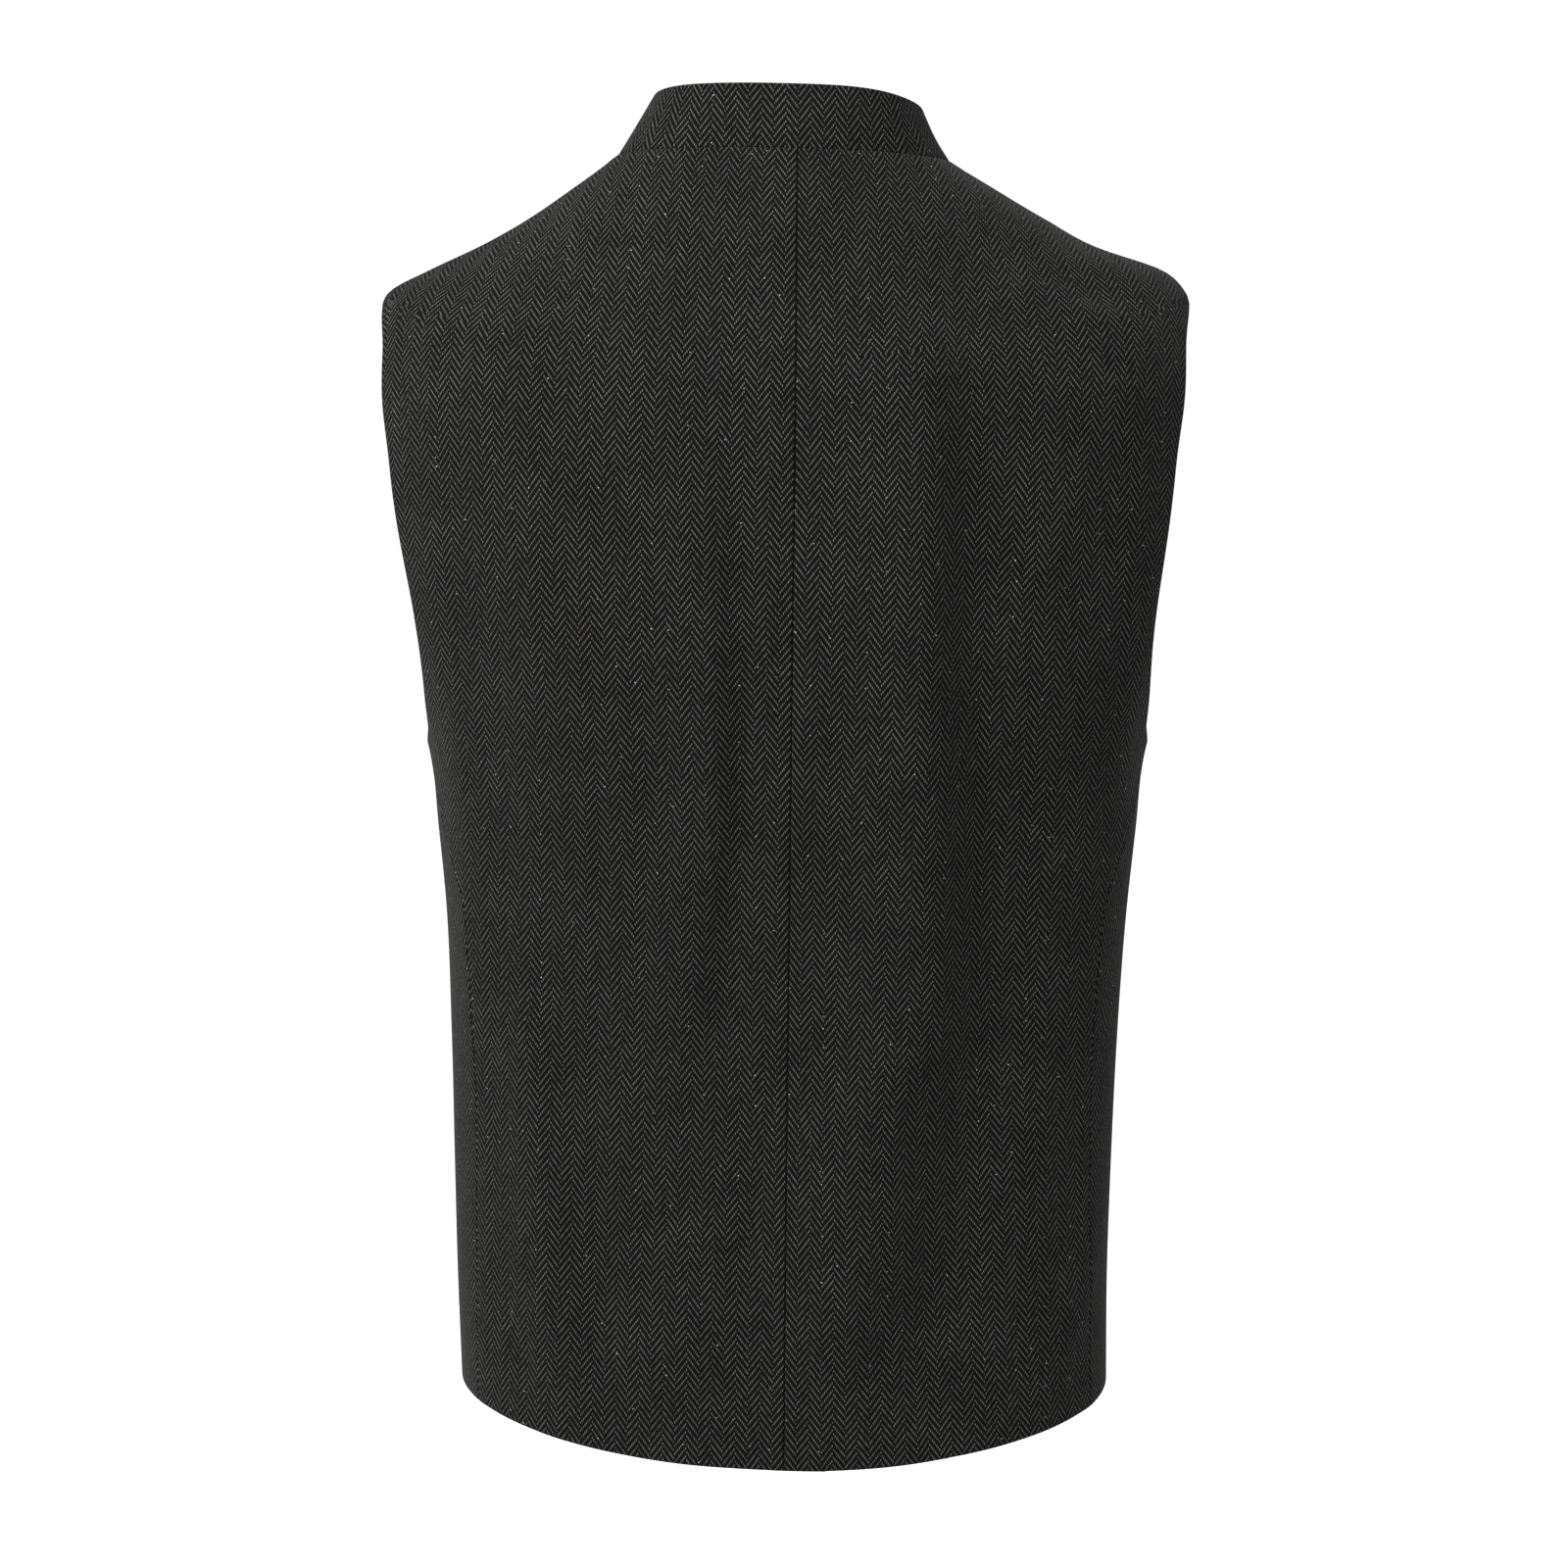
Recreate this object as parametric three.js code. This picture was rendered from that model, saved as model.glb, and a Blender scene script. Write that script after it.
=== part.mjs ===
// A stand-collar suit waistcoat in herringbone tweed, filled out as if worn and hollow inside.
// Millimetres, +Z up. The front faces -Y and the wearer's left is +X.
// The origin lies midway between the two points where the collar meets the shoulders.

import * as THREE from 'three';

// A table from its column names and its rows
function tableOf(names, rows) {
  const columns = names.split(' ');
  return rows.map((row) => Object.fromEntries(columns.map((column, i) => [column, row[i]])));
}

// Driving dimensions
const WALL = 2.2; // tweed with its turned edges
const SEAM_GAP = 0.3;
const HEM_Z = -660;
const UNDERARM_Z = -306;
const SHOULDER_TIP_Z = -70;
const LAP = 16; // how far each front runs past the centre front
const LAP_EASE = 44; // width over which the right front dips under the left
const FRONT_CORNER_RADIUS = 26;
const CORNER_BLEND = 110; // height over which the rounded corner fades into the front
const LAP_MARGIN = 3; // the right front is fully under this far before the left one's edge
const COLLAR_HEIGHT = 38;
const COLLAR_END_GAP = 5; // between the two ends of the collar
const COLLAR_CORNER_RADIUS = 12;
const BUTTON_COUNT = 6;
const BUTTON_DIAMETER = 18;
const BUTTON_THICKNESS = 3.2;
const BUTTON_HOLE_RADIUS = 0.9;
const BUTTON_HOLE_OUT = 2.1; // from the button's middle to each hole's
const BUTTON_TOP_Z = -96;
const BUTTON_PITCH = 88;

// The x at which the centre-back seam meets the collar and the hem. It hangs a little askew.
const CENTRE_SEAM_TOP_X = -6.5;
const CENTRE_SEAM_HEM_X = 0.5;

// Angles round the body, in degrees from the centre back, the same on both sides
const SHOULDER_SEAM_ANGLE = 97;
const SIDE_SEAM_ANGLE = 72;
const SIDE_SEAM_SHIFT = 90; // height over which the side seam runs from underarm to its line

// The armhole's edge on the back and on the front. turn runs from 0 at the underarm to 180 at the
// shoulder tip, as round a clock face, and back and front are angles round the body.
const ARMHOLE = tableOf('turn back front', [
  [0, 83, 83],
  [30, 78, 99],
  [60, 74, 111],
  [90, 74, 117],
  [120, 76.5, 116],
  [150, 82, 110],
  [180, 97, 97],
]);

const FRONT_DROP_POWER = 1.3; // how late the front of a ring falls away from its sides

// Mesh counts
const COLUMNS = 14;
const HEM_ROWS = 24;
const ARMHOLE_ROWS = 13;
const SHOULDER_ROWS = 7;
const COLLAR_COLUMNS = 44;
const COLLAR_ROWS = 4;
const BUTTON_SIDES = 24;
const EDGE_CROWDING = 0.5; // how much closer together a panel's columns are at its edges

// Rings of the body. z is the ring's height at its sides, left and right its half-widths,
// back, side and front the y of those places, backDrop and frontDrop how far the ring's middle
// lies above its sides, tilt its slope up towards the wearer's left, pitch its slope up towards
// the back, and power how square it is.
const BODY_RINGS = tableOf('z left right back side front backDrop frontDrop tilt pitch power', [
  [-660, 177.6, 176.8, 110, 0, -108, -21, -9, 0.011, 0, 2.5],
  [-596, 179.3, 176.6, 105, 0, -108, -10, -6, 0.006, 0, 2.5],
  [-536, 180, 178, 101, 0, -107, 0, 0, 0, 0, 2.5],
  [-466, 180.6, 180.6, 98, 0, -106, 0, 0, 0, 0, 2.5],
  [-396, 182.6, 184.6, 103, 0, -110, 0, 0, 0, 0, 2.5],
  [-352, 186.4, 188.7, 106.8, 0, -113.6, 0, -2, 0, 0, 2.5],
  [-316, 189.6, 192, 111, 0, -117, 0, -5, 0, 0, 2.5],
  [-276, 199, 201.6, 115, 0, -118, -1, -14, 0, 0, 2.5],
  [-236, 208, 208.5, 117, 0, -117, -3, -26, 0, 0, 2.5],
  [-156, 223, 220, 113, 0, -111, -14, -52, 0, 0, 2.42],
  [-96, 219.5, 219, 107, -1, -104, -27, -70, 0, 0, 2.28],
  [-78, 213.8, 214.5, 104, -2, -100, -30, -73, 0, 0, 2.12],
  [-68, 208.2, 211, 100, -3, -97, -28, -74, 0, 0, 2],
  [-58, 189, 200, 95, -4, -94, -24, -73, 0, 0, 1.9],
  [-45, 161, 163, 88, -5, -89, -16, -72, 0, 0.02, 1.85],
  [-30, 133, 137, 79, -5, -83, -9, -70, 0.005, 0.05, 1.9],
  [-14, 108, 110, 68, -4, -76, -4, -68, 0.012, 0.09, 2],
  [0, 88, 87, 57, -3, -69, 0, -67, 0.02, 0.12, 2.1],
]);

// The collar above the neck seam. up is the way up the band, rise the height gained at the back,
// at each side and at the front, and in how far it has leaned in at those places.
const COLLAR_RINGS = tableOf(
  'up riseBack riseLeft riseRight riseFront inBack inLeft inRight inFront',
  [
    [0, 0, 0, 0, 0, 0, 0, 0, 0],
    [COLLAR_HEIGHT / 2, 16, 15, 13, 18, 4, 9.5, 8, 2],
    [COLLAR_HEIGHT, 33, 32, 28, 36, 9, 20, 15, 5],
  ],
);

// Folds of the worn cloth. path holds [x, z] points from top to bottom, height is how far the
// fold stands out (a trough is negative), and towardLeft and towardRight are its widths on the
// sides of the wearer's left and right.
const BACK_FOLDS = tableOf('height towardLeft towardRight path', [
  [3.2, 24, 13, [[42, -110], [41, -230], [38, -320], [46, -380], [57, -470]]],
  [-2.2, 14, 12, [[78, -240], [64, -320], [76, -400], [84, -440]]],
  [-2.2, 10, 12, [[26, -170], [20, -260], [22, -340], [38, -440]]],
  [5.5, 34, 20, [[-66, -50], [-68, -200], [-70, -330], [-70, -440], [-42, -520], [-26, -640]]],
  [-4.5, 18, 30, [[-92, -120], [-96, -250], [-106, -350], [-108, -450], [-84, -560], [-80, -640]]],
  [-2.6, 9, 9, [[92, -560], [62, -551], [32, -536]]],
  [2.6, 24, 24, [[52, -566], [44, -606], [52, -660]]],
  [4, 16, 12, [[138, -410], [134, -480], [126, -570], [119, -650]]],
  [-2.6, 14, 18, [[112, -450], [104, -540], [96, -640]]],
  [-3, 14, 18, [[164, -180], [158, -260], [155, -380]]],
  [-3.4, 18, 14, [[-160, -140], [-163, -200], [-158, -270]]],
  [3, 12, 10, [[-164, -566], [-155, -602], [-143, -650]]],
  [-3.5, 9, 9, [[-134, -58], [-160, -66], [-184, -72]]],
]);
const FRONT_FOLDS = tableOf('height towardLeft towardRight path', [
  [4, 26, 18, [[96, -150], [88, -260], [92, -380], [104, -480]]],
  [4.2, 18, 26, [[-92, -160], [-84, -280], [-90, -400], [-98, -470]]],
  [-3, 20, 14, [[120, -250], [118, -380], [132, -500]]],
  [-3, 14, 20, [[-122, -240], [-116, -360], [-126, -470]]],
  [3.2, 24, 20, [[84, -500], [76, -580], [82, -650]]],
  [3, 20, 26, [[-74, -520], [-70, -590], [-80, -655]]],
]);
const FOLD_FADE = 60; // length over which each end of a fold dies away
const FOLD_END = 0.25; // the share of a fold's height that is left at its ends
const FOLD_NECK_FADE = 26; // height over which folds die away towards the neck
const FOLD_SIDE_FADE = 0.3; // cosine of the angle at which they die away towards the sides

// Shading of the parts
const TWEED = { color: 0x2d2d2b, roughness: 0.95, metalness: 0 };
const HORN = { color: 0x1d1814, roughness: 0.4, metalness: 0 };

const DEGREE = Math.PI / 180;

const clamp = (value, low, high) => Math.min(Math.max(value, low), high);

function smooth(value) {
  const t = clamp(value, 0, 1);
  return t * t * (3 - 2 * t);
}

// A value from a table's column at a place along another column, on a smooth curve
function readTable(table, along, place, column) {
  const last = table.length - 1;
  const at = clamp(place, table[0][along], table[last][along]);
  let i = 0;
  while (i < last - 1 && at > table[i + 1][along]) i += 1;
  const slope = (k) => (table[k + 1][column] - table[k][column]) / (table[k + 1][along] - table[k][along]);
  const tangent = (k) => {
    if (k === 0) return slope(0);
    if (k === last) return slope(last - 1);
    const before = table[k][along] - table[k - 1][along];
    const after = table[k + 1][along] - table[k][along];
    return (slope(k - 1) * after + slope(k) * before) / (before + after);
  };
  const step = table[i + 1][along] - table[i][along];
  const t = (at - table[i][along]) / step;
  const t2 = t * t;
  const t3 = t2 * t;
  return (
    (2 * t3 - 3 * t2 + 1) * table[i][column] +
    (t3 - 2 * t2 + t) * step * tangent(i) +
    (3 * t2 - 2 * t3) * table[i + 1][column] +
    (t3 - t2) * step * tangent(i + 1)
  );
}

// A point on a closed ring: a rounded oval with its own half-width on each side
function ringPoint(angle, ring) {
  const sine = Math.sin(angle);
  const cosine = Math.cos(angle);
  const halfWidth = sine > 0 ? ring.left : ring.right;
  const depth = cosine > 0 ? ring.back - ring.side : ring.side - ring.front;
  const power = ring.power;
  const sum = Math.abs(cosine / depth) ** power + Math.abs(sine / halfWidth) ** power;
  const radius = sum ** (-1 / power);
  const x = radius * sine;
  const middle = Math.max(1 - (x / halfWidth) ** 2, 0);
  const drop = cosine > 0 ? ring.backDrop * middle : ring.frontDrop * middle ** FRONT_DROP_POWER;
  const y = radius * cosine;
  return new THREE.Vector3(x, ring.side + y, ring.z + drop + ring.tilt * x + ring.pitch * y);
}

const RING_COLUMNS = Object.keys(BODY_RINGS[0]).filter((column) => column !== 'z');

function bodyRing(z) {
  const ring = { z };
  for (const column of RING_COLUMNS) {
    ring[column] = readTable(BODY_RINGS, 'z', z, column);
  }
  return ring;
}

// How far one fold lifts the cloth at a place seen square on
function foldHeight(fold, x, z) {
  let best = null;
  let walked = 0;
  for (let i = 0; i + 1 < fold.path.length; i += 1) {
    const [x0, z0] = fold.path[i];
    const [x1, z1] = fold.path[i + 1];
    const length = Math.hypot(x1 - x0, z1 - z0);
    const along = ((x - x0) * (x1 - x0) + (z - z0) * (z1 - z0)) / length;
    const held = clamp(along, 0, length);
    const dx = x - x0 - ((x1 - x0) * held) / length;
    const dz = z - z0 - ((z1 - z0) * held) / length;
    const distance = Math.hypot(dx, dz);
    const side = (x - x0) * (z0 - z1) + (z - z0) * (x1 - x0);
    if (best === null || distance < best.distance) best = { distance, side, at: walked + held };
    walked += length;
  }
  const width = best.side > 0 ? fold.towardLeft : fold.towardRight;
  const ends = Math.min(best.at, walked - best.at);
  const fade = FOLD_END + (1 - FOLD_END) * smooth(ends / Math.min(FOLD_FADE, walked / 2));
  return fold.height * fade * Math.exp(-((best.distance / width) ** 2));
}

// The body's surface before folds, at an angle from the centre back and a ring height
function plainCloth(angle, z) {
  return ringPoint(angle, bodyRing(z));
}

function squareTo(surface, angle, z) {
  const stepAngle = 0.004;
  const stepZ = 0.5;
  const round = surface(angle + stepAngle, z).sub(surface(angle - stepAngle, z));
  const up = surface(angle, z + stepZ).sub(surface(angle, z - stepZ));
  return up.cross(round).normalize();
}

// How deep the right front lies under the left one near the centre front
function underLap(angle, x, side) {
  if (side > 0 || Math.cos(angle) > 0) return 0;
  return (WALL + SEAM_GAP) * smooth((x + LAP + LAP_MARGIN + LAP_EASE) / LAP_EASE);
}

// The worn cloth's outer surface on the wearer's left (side 1) or right (side -1)
function cloth(angle, z, side) {
  const point = plainCloth(angle, z);
  const folds = Math.cos(angle) > 0 ? BACK_FOLDS : FRONT_FOLDS;
  let lift = 0;
  for (const fold of folds) lift += foldHeight(fold, point.x, point.z);
  const sideFade = smooth(Math.abs(Math.cos(angle)) / FOLD_SIDE_FADE);
  const neckFade = smooth(-z / FOLD_NECK_FADE);
  lift = lift * sideFade * neckFade - underLap(angle, point.x, side);
  return point.addScaledVector(squareTo(plainCloth, angle, z), lift);
}

// A closed wall from a grid of outer points and the directions square to them
function wallGeometry(points, normals, columns, rows) {
  const position = [];
  for (const point of points) position.push(point.x, point.y, point.z);
  points.forEach((point, i) => {
    const inner = point.clone().addScaledVector(normals[i], -WALL);
    position.push(inner.x, inner.y, inner.z);
  });
  const outer = (i, j) => j * (columns + 1) + i;
  const inner = (i, j) => points.length + outer(i, j);
  const index = [];
  const quad = (a, b, c, d) => index.push(a, c, b, a, d, c);
  for (let j = 0; j < rows; j += 1) {
    for (let i = 0; i < columns; i += 1) {
      quad(outer(i, j), outer(i + 1, j), outer(i + 1, j + 1), outer(i, j + 1));
      quad(inner(i, j), inner(i, j + 1), inner(i + 1, j + 1), inner(i + 1, j));
    }
  }
  for (let i = 0; i < columns; i += 1) {
    quad(outer(i, 0), inner(i, 0), inner(i + 1, 0), outer(i + 1, 0));
    quad(outer(i + 1, rows), inner(i + 1, rows), inner(i, rows), outer(i, rows));
  }
  for (let j = 0; j < rows; j += 1) {
    quad(outer(0, j + 1), inner(0, j + 1), inner(0, j), outer(0, j));
    quad(outer(columns, j), inner(columns, j), inner(columns, j + 1), outer(columns, j + 1));
  }
  const geometry = new THREE.BufferGeometry();
  geometry.setAttribute('position', new THREE.Float32BufferAttribute(position, 3));
  geometry.setIndex(index);
  return geometry;
}

// Shares of a panel's width, closer together at both edges
function columnShare(i, count) {
  const even = i / count;
  const crowded = (1 - Math.cos(Math.PI * even)) / 2;
  return even + (crowded - even) * EDGE_CROWDING;
}

// Ring heights of a panel's rows, closer together at both ends of the armhole
function panelHeights() {
  const heights = [];
  for (let j = 0; j < HEM_ROWS; j += 1) heights.push(HEM_Z + ((UNDERARM_Z - HEM_Z) * j) / HEM_ROWS);
  for (let j = 0; j < ARMHOLE_ROWS; j += 1) {
    const share = (1 - Math.cos((Math.PI * j) / ARMHOLE_ROWS)) / 2;
    heights.push(UNDERARM_Z + (SHOULDER_TIP_Z - UNDERARM_Z) * share);
  }
  for (let j = 0; j <= SHOULDER_ROWS; j += 1) {
    heights.push(SHOULDER_TIP_Z + ((-SEAM_GAP - SHOULDER_TIP_Z) * j) / SHOULDER_ROWS);
  }
  return heights;
}

// The angles at which the back ends and the front begins at a ring height, without the seam gap
function edgeAngles(z) {
  if (z >= SHOULDER_TIP_Z) return { back: SHOULDER_SEAM_ANGLE, front: SHOULDER_SEAM_ANGLE };
  if (z <= UNDERARM_Z) {
    const share = smooth((UNDERARM_Z - z) / SIDE_SEAM_SHIFT);
    const seam = ARMHOLE[0].back + (SIDE_SEAM_ANGLE - ARMHOLE[0].back) * share;
    return { back: seam, front: seam };
  }
  const up = (z - UNDERARM_Z) / (SHOULDER_TIP_Z - UNDERARM_Z);
  const turn = Math.acos(1 - 2 * up) / DEGREE;
  return {
    back: readTable(ARMHOLE, 'turn', turn, 'back'),
    front: readTable(ARMHOLE, 'turn', turn, 'front'),
  };
}

// Where the centre-back seam lies at a ring height, as an angle round the body
function centreSeamAngle(z) {
  const ring = bodyRing(z);
  const x = CENTRE_SEAM_HEM_X + (CENTRE_SEAM_TOP_X - CENTRE_SEAM_HEM_X) * (1 - z / HEM_Z);
  return Math.asin(x / (ring.back - ring.side));
}

// Half a seam's gap, as an angle at that place
function halfGapAngle(angle, z) {
  const step = 0.01;
  const length = plainCloth(angle + step, z).distanceTo(plainCloth(angle, z));
  return ((SEAM_GAP / 2) * step) / length;
}

// How far past the centre front a front panel's free edge lies
function lapAngle(z) {
  const ring = bodyRing(z);
  return Math.asin(LAP / (ring.side - ring.front));
}

// The rise of a front's lower edge in its rounded corner
function cornerRise(z, distance) {
  const into = FRONT_CORNER_RADIUS - distance;
  if (into <= 0) return 0;
  const rise = FRONT_CORNER_RADIUS - Math.sqrt(Math.max(FRONT_CORNER_RADIUS ** 2 - into ** 2, 0));
  return rise * (1 - smooth((z - HEM_Z) / CORNER_BLEND));
}

// One panel, from its first edge to its last, each given as an unsigned angle at a ring height
function panelGeometry(side, firstAngle, lastAngle, hasCorner) {
  const points = [];
  const normals = [];
  const surface = (angle, z) => cloth(angle, z, side);
  const heights = panelHeights();
  for (const height of heights) {
    const first = firstAngle(height);
    const last = lastAngle(height);
    for (let i = 0; i <= COLUMNS; i += 1) {
      const share = columnShare(side > 0 ? i : COLUMNS - i, COLUMNS);
      const angle = side * (first + (last - first) * share);
      const reach = plainCloth(angle, height);
      const edge = plainCloth(side * last, height);
      const z = height + (hasCorner ? cornerRise(height, reach.distanceTo(edge)) : 0);
      points.push(surface(angle, z));
      normals.push(squareTo(surface, angle, z));
    }
  }
  return wallGeometry(points, normals, COLUMNS, heights.length - 1);
}

function backPanel(side) {
  const first = (z) => {
    const centre = centreSeamAngle(z);
    return side * centre + halfGapAngle(centre, z);
  };
  const last = (z) => {
    const edge = edgeAngles(z).back * DEGREE;
    return edge - halfGapAngle(side * edge, z);
  };
  return panelGeometry(side, first, last, false);
}

function frontPanel(side) {
  const first = (z) => {
    const edge = edgeAngles(z).front * DEGREE;
    return edge + halfGapAngle(side * edge, z);
  };
  const last = (z) => Math.PI + lapAngle(z);
  return panelGeometry(side, first, last, true);
}

// A point on the collar, so far up the band from the neck seam
function collarPoint(angle, up) {
  const base = plainCloth(angle, 0);
  const read = (column) => readTable(COLLAR_RINGS, 'up', up, column);
  const sine = Math.sin(angle);
  const cosine = Math.cos(angle);
  const sideWeight = sine ** 4;
  const endRise = cosine > 0 ? read('riseBack') : read('riseFront');
  const sideRise = sine > 0 ? read('riseLeft') : read('riseRight');
  const endIn = cosine > 0 ? read('inBack') : read('inFront');
  const sideIn = sine > 0 ? read('inLeft') : read('inRight');
  const side = angle > 0 ? 1 : -1;
  const lap = underLap(angle, base.x, side);
  base.x -= sine * sideIn * sideWeight;
  base.y -= cosine * (endIn + lap);
  base.z += SEAM_GAP / 2 + endRise + (sideRise - endRise) * sideWeight;
  return base;
}

// The collar band, all round the neck from one end at the centre front to the other
function collarGeometry() {
  const frontDepth = Math.abs(plainCloth(Math.PI, 0).y);
  const reach = Math.PI - Math.asin(COLLAR_END_GAP / 2 / frontDepth);
  const points = [];
  const normals = [];
  for (let j = 0; j <= COLLAR_ROWS; j += 1) {
    for (let i = 0; i <= COLLAR_COLUMNS; i += 1) {
      const angle = reach * (2 * columnShare(i, COLLAR_COLUMNS) - 1);
      const fromEnd = (reach - Math.abs(angle)) * frontDepth;
      const into = Math.max(COLLAR_CORNER_RADIUS - fromEnd, 0);
      const cut = COLLAR_CORNER_RADIUS - Math.sqrt(COLLAR_CORNER_RADIUS ** 2 - into ** 2);
      const up = (j / COLLAR_ROWS) * (COLLAR_HEIGHT - cut);
      points.push(collarPoint(angle, up));
      normals.push(squareTo(collarPoint, angle, up));
    }
  }
  return wallGeometry(points, normals, COLLAR_COLUMNS, COLLAR_ROWS);
}

// A round button with four holes, standing along +Z
function buttonGeometry() {
  const radius = BUTTON_DIAMETER / 2;
  const outline = new THREE.Shape();
  outline.absarc(0, 0, radius, 0, 2 * Math.PI, false);
  for (let k = 0; k < 4; k += 1) {
    const turn = Math.PI / 4 + (k * Math.PI) / 2;
    const hole = new THREE.Path();
    const x = BUTTON_HOLE_OUT * Math.cos(turn);
    const y = BUTTON_HOLE_OUT * Math.sin(turn);
    hole.absarc(x, y, BUTTON_HOLE_RADIUS, 0, 2 * Math.PI, true);
    outline.holes.push(hole);
  }
  return new THREE.ExtrudeGeometry(outline, {
    depth: BUTTON_THICKNESS,
    bevelEnabled: false,
    curveSegments: BUTTON_SIDES / 4,
  });
}

function tweedMesh(name, geometry) {
  const mesh = new THREE.Mesh(geometry, new THREE.MeshStandardMaterial(TWEED));
  mesh.name = name;
  return mesh;
}

// The angle and ring height on the centre front at a given level
function centreFrontHeight(level) {
  let low = HEM_Z;
  let high = 0;
  for (let pass = 0; pass < 40; pass += 1) {
    const middle = (low + high) / 2;
    if (plainCloth(Math.PI, middle).z < level) low = middle;
    else high = middle;
  }
  return low;
}

function buttonMesh(number) {
  const mesh = new THREE.Mesh(buttonGeometry(), new THREE.MeshStandardMaterial(HORN));
  mesh.name = `button_${number}`;
  const z = centreFrontHeight(BUTTON_TOP_Z - BUTTON_PITCH * (number - 1));
  const surface = (angle, height) => cloth(angle, height, 1);
  const middle = surface(Math.PI, z);
  const normal = squareTo(surface, Math.PI, z);
  let proud = 0; // how far the cloth round the middle stands above it
  for (const reach of [-1, -0.5, 0.5, 1]) {
    const above = surface(Math.PI, z + reach * BUTTON_DIAMETER).sub(middle);
    proud = Math.max(proud, above.dot(normal));
  }
  mesh.position.copy(middle).addScaledVector(normal, proud + SEAM_GAP);
  mesh.quaternion.setFromUnitVectors(new THREE.Vector3(0, 0, 1), normal);
  return mesh;
}

const waistcoat = new THREE.Group();
waistcoat.name = 'waistcoat';
waistcoat.add(tweedMesh('back_left', backPanel(1)));
waistcoat.add(tweedMesh('back_right', backPanel(-1)));
waistcoat.add(tweedMesh('front_left', frontPanel(1)));
waistcoat.add(tweedMesh('front_right', frontPanel(-1)));
waistcoat.add(tweedMesh('collar', collarGeometry()));
for (let number = 1; number <= BUTTON_COUNT; number += 1) waistcoat.add(buttonMesh(number));

export default waistcoat;
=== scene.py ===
import math

import bmesh
import bpy
import numpy as np
from mathutils import Matrix, Vector


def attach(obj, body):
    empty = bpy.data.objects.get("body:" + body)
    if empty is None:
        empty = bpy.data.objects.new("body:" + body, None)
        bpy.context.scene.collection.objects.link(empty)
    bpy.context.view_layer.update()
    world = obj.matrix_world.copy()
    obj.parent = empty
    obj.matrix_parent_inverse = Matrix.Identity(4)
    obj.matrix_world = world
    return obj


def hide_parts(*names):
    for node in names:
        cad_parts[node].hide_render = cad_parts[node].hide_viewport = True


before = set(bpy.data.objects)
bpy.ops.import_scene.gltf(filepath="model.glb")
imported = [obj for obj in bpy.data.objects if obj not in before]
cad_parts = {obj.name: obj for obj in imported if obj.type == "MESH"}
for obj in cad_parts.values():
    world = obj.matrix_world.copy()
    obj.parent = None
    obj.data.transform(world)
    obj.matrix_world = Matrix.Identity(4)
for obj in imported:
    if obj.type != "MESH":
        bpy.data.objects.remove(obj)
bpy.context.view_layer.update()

MM = 0.001
BODY = "root"

# Sizes shared with the solids
WALL = 2.2
SEAM_GAP = 0.3
HEM_Z = -660
UNDERARM_Z = -306
SHOULDER_TIP_Z = -70
LAP = 16
LAP_EASE = 44
LAP_MARGIN = 3
FRONT_CORNER_RADIUS = 26
CORNER_BLEND = 110
COLLAR_HEIGHT = 38
COLLAR_END_GAP = 5
COLLAR_CORNER_RADIUS = 12
BUTTON_COUNT = 6
BUTTON_DIAMETER = 18
BUTTON_THICKNESS = 3.2
BUTTON_HOLE_RADIUS = 0.9
BUTTON_HOLE_OUT = 2.1
BUTTON_TOP_Z = -96
BUTTON_PITCH = 88
SHOULDER_SEAM_ANGLE = 97
SIDE_SEAM_ANGLE = 72
SIDE_SEAM_SHIFT = 90
CENTRE_SEAM_TOP_X = -6.5
CENTRE_SEAM_HEM_X = 0.5
FRONT_DROP_POWER = 1.3

# Fine form of the cloth
SEAM_WIDTH = 0.42  # width over which a sewn edge turns in
CENTRE_SEAM_DEPTH = 2
SIDE_SEAM_DEPTH = 0.4
NECK_SEAM_DEPTH = 0.3
SEAM_RIDGE = 0.22  # how far the pressed allowances lift the cloth beside a seam
SEAM_RIDGE_WIDTH = 9
SEAM_RIDGE_FADE = 5
SEAM_ALLOWANCE = 12
PUCKER = 0.16  # unevenness of the cloth along a seam
PUCKER_WIDTH = 7
PUCKER_LENGTHS = [11, 17, 26, 41]
UNEVEN = 0.35  # unevenness of the cloth all over
UNEVEN_LENGTHS = [38, 53, 71, 96, 130]
WAVER_SEED = 5
WAVER_STRETCH = np.array([1.6, 1.0, 0.8])  # waves run more across the body than up it
EDGE_ROLL = 1.6  # width over which a free edge rounds over
EDGE_ROUND = 1.05
CLOTH = 1.4  # one layer of tweed
TURN = 0.8  # what a turned edge adds on the inside
TURN_STEP = 1.5
HEM_TURN = 34  # height of the turned hem inside
ARMHOLE_TURN = 13
FRONT_TURN = 42
COLLAR_THICK = 2.2
COLLAR_LEAN = 5  # height over which its wall turns from the body's slope to its own
COLLAR_STEP = 2
COLLAR_INNER_ROUND = 0.96  # how far its inner face rounds over, as a share of its outer face's
ROW_STEP = 2.7
COLUMN_STEP = 2.5
TRIAL_COLUMNS = 160  # places at which a row's length is felt before its columns are set out
COLLAR_TRIALS = 400
HALVINGS = 40  # steps of a search by halves
FAR = 1000  # stands for a distance to an edge that isn't there
EDGE_STEPS = [0, 0.12, 0.25, 0.4, 0.65, 1.0, 1.6, 2.8, 4.6]  # from an edge to its first rows

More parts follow.
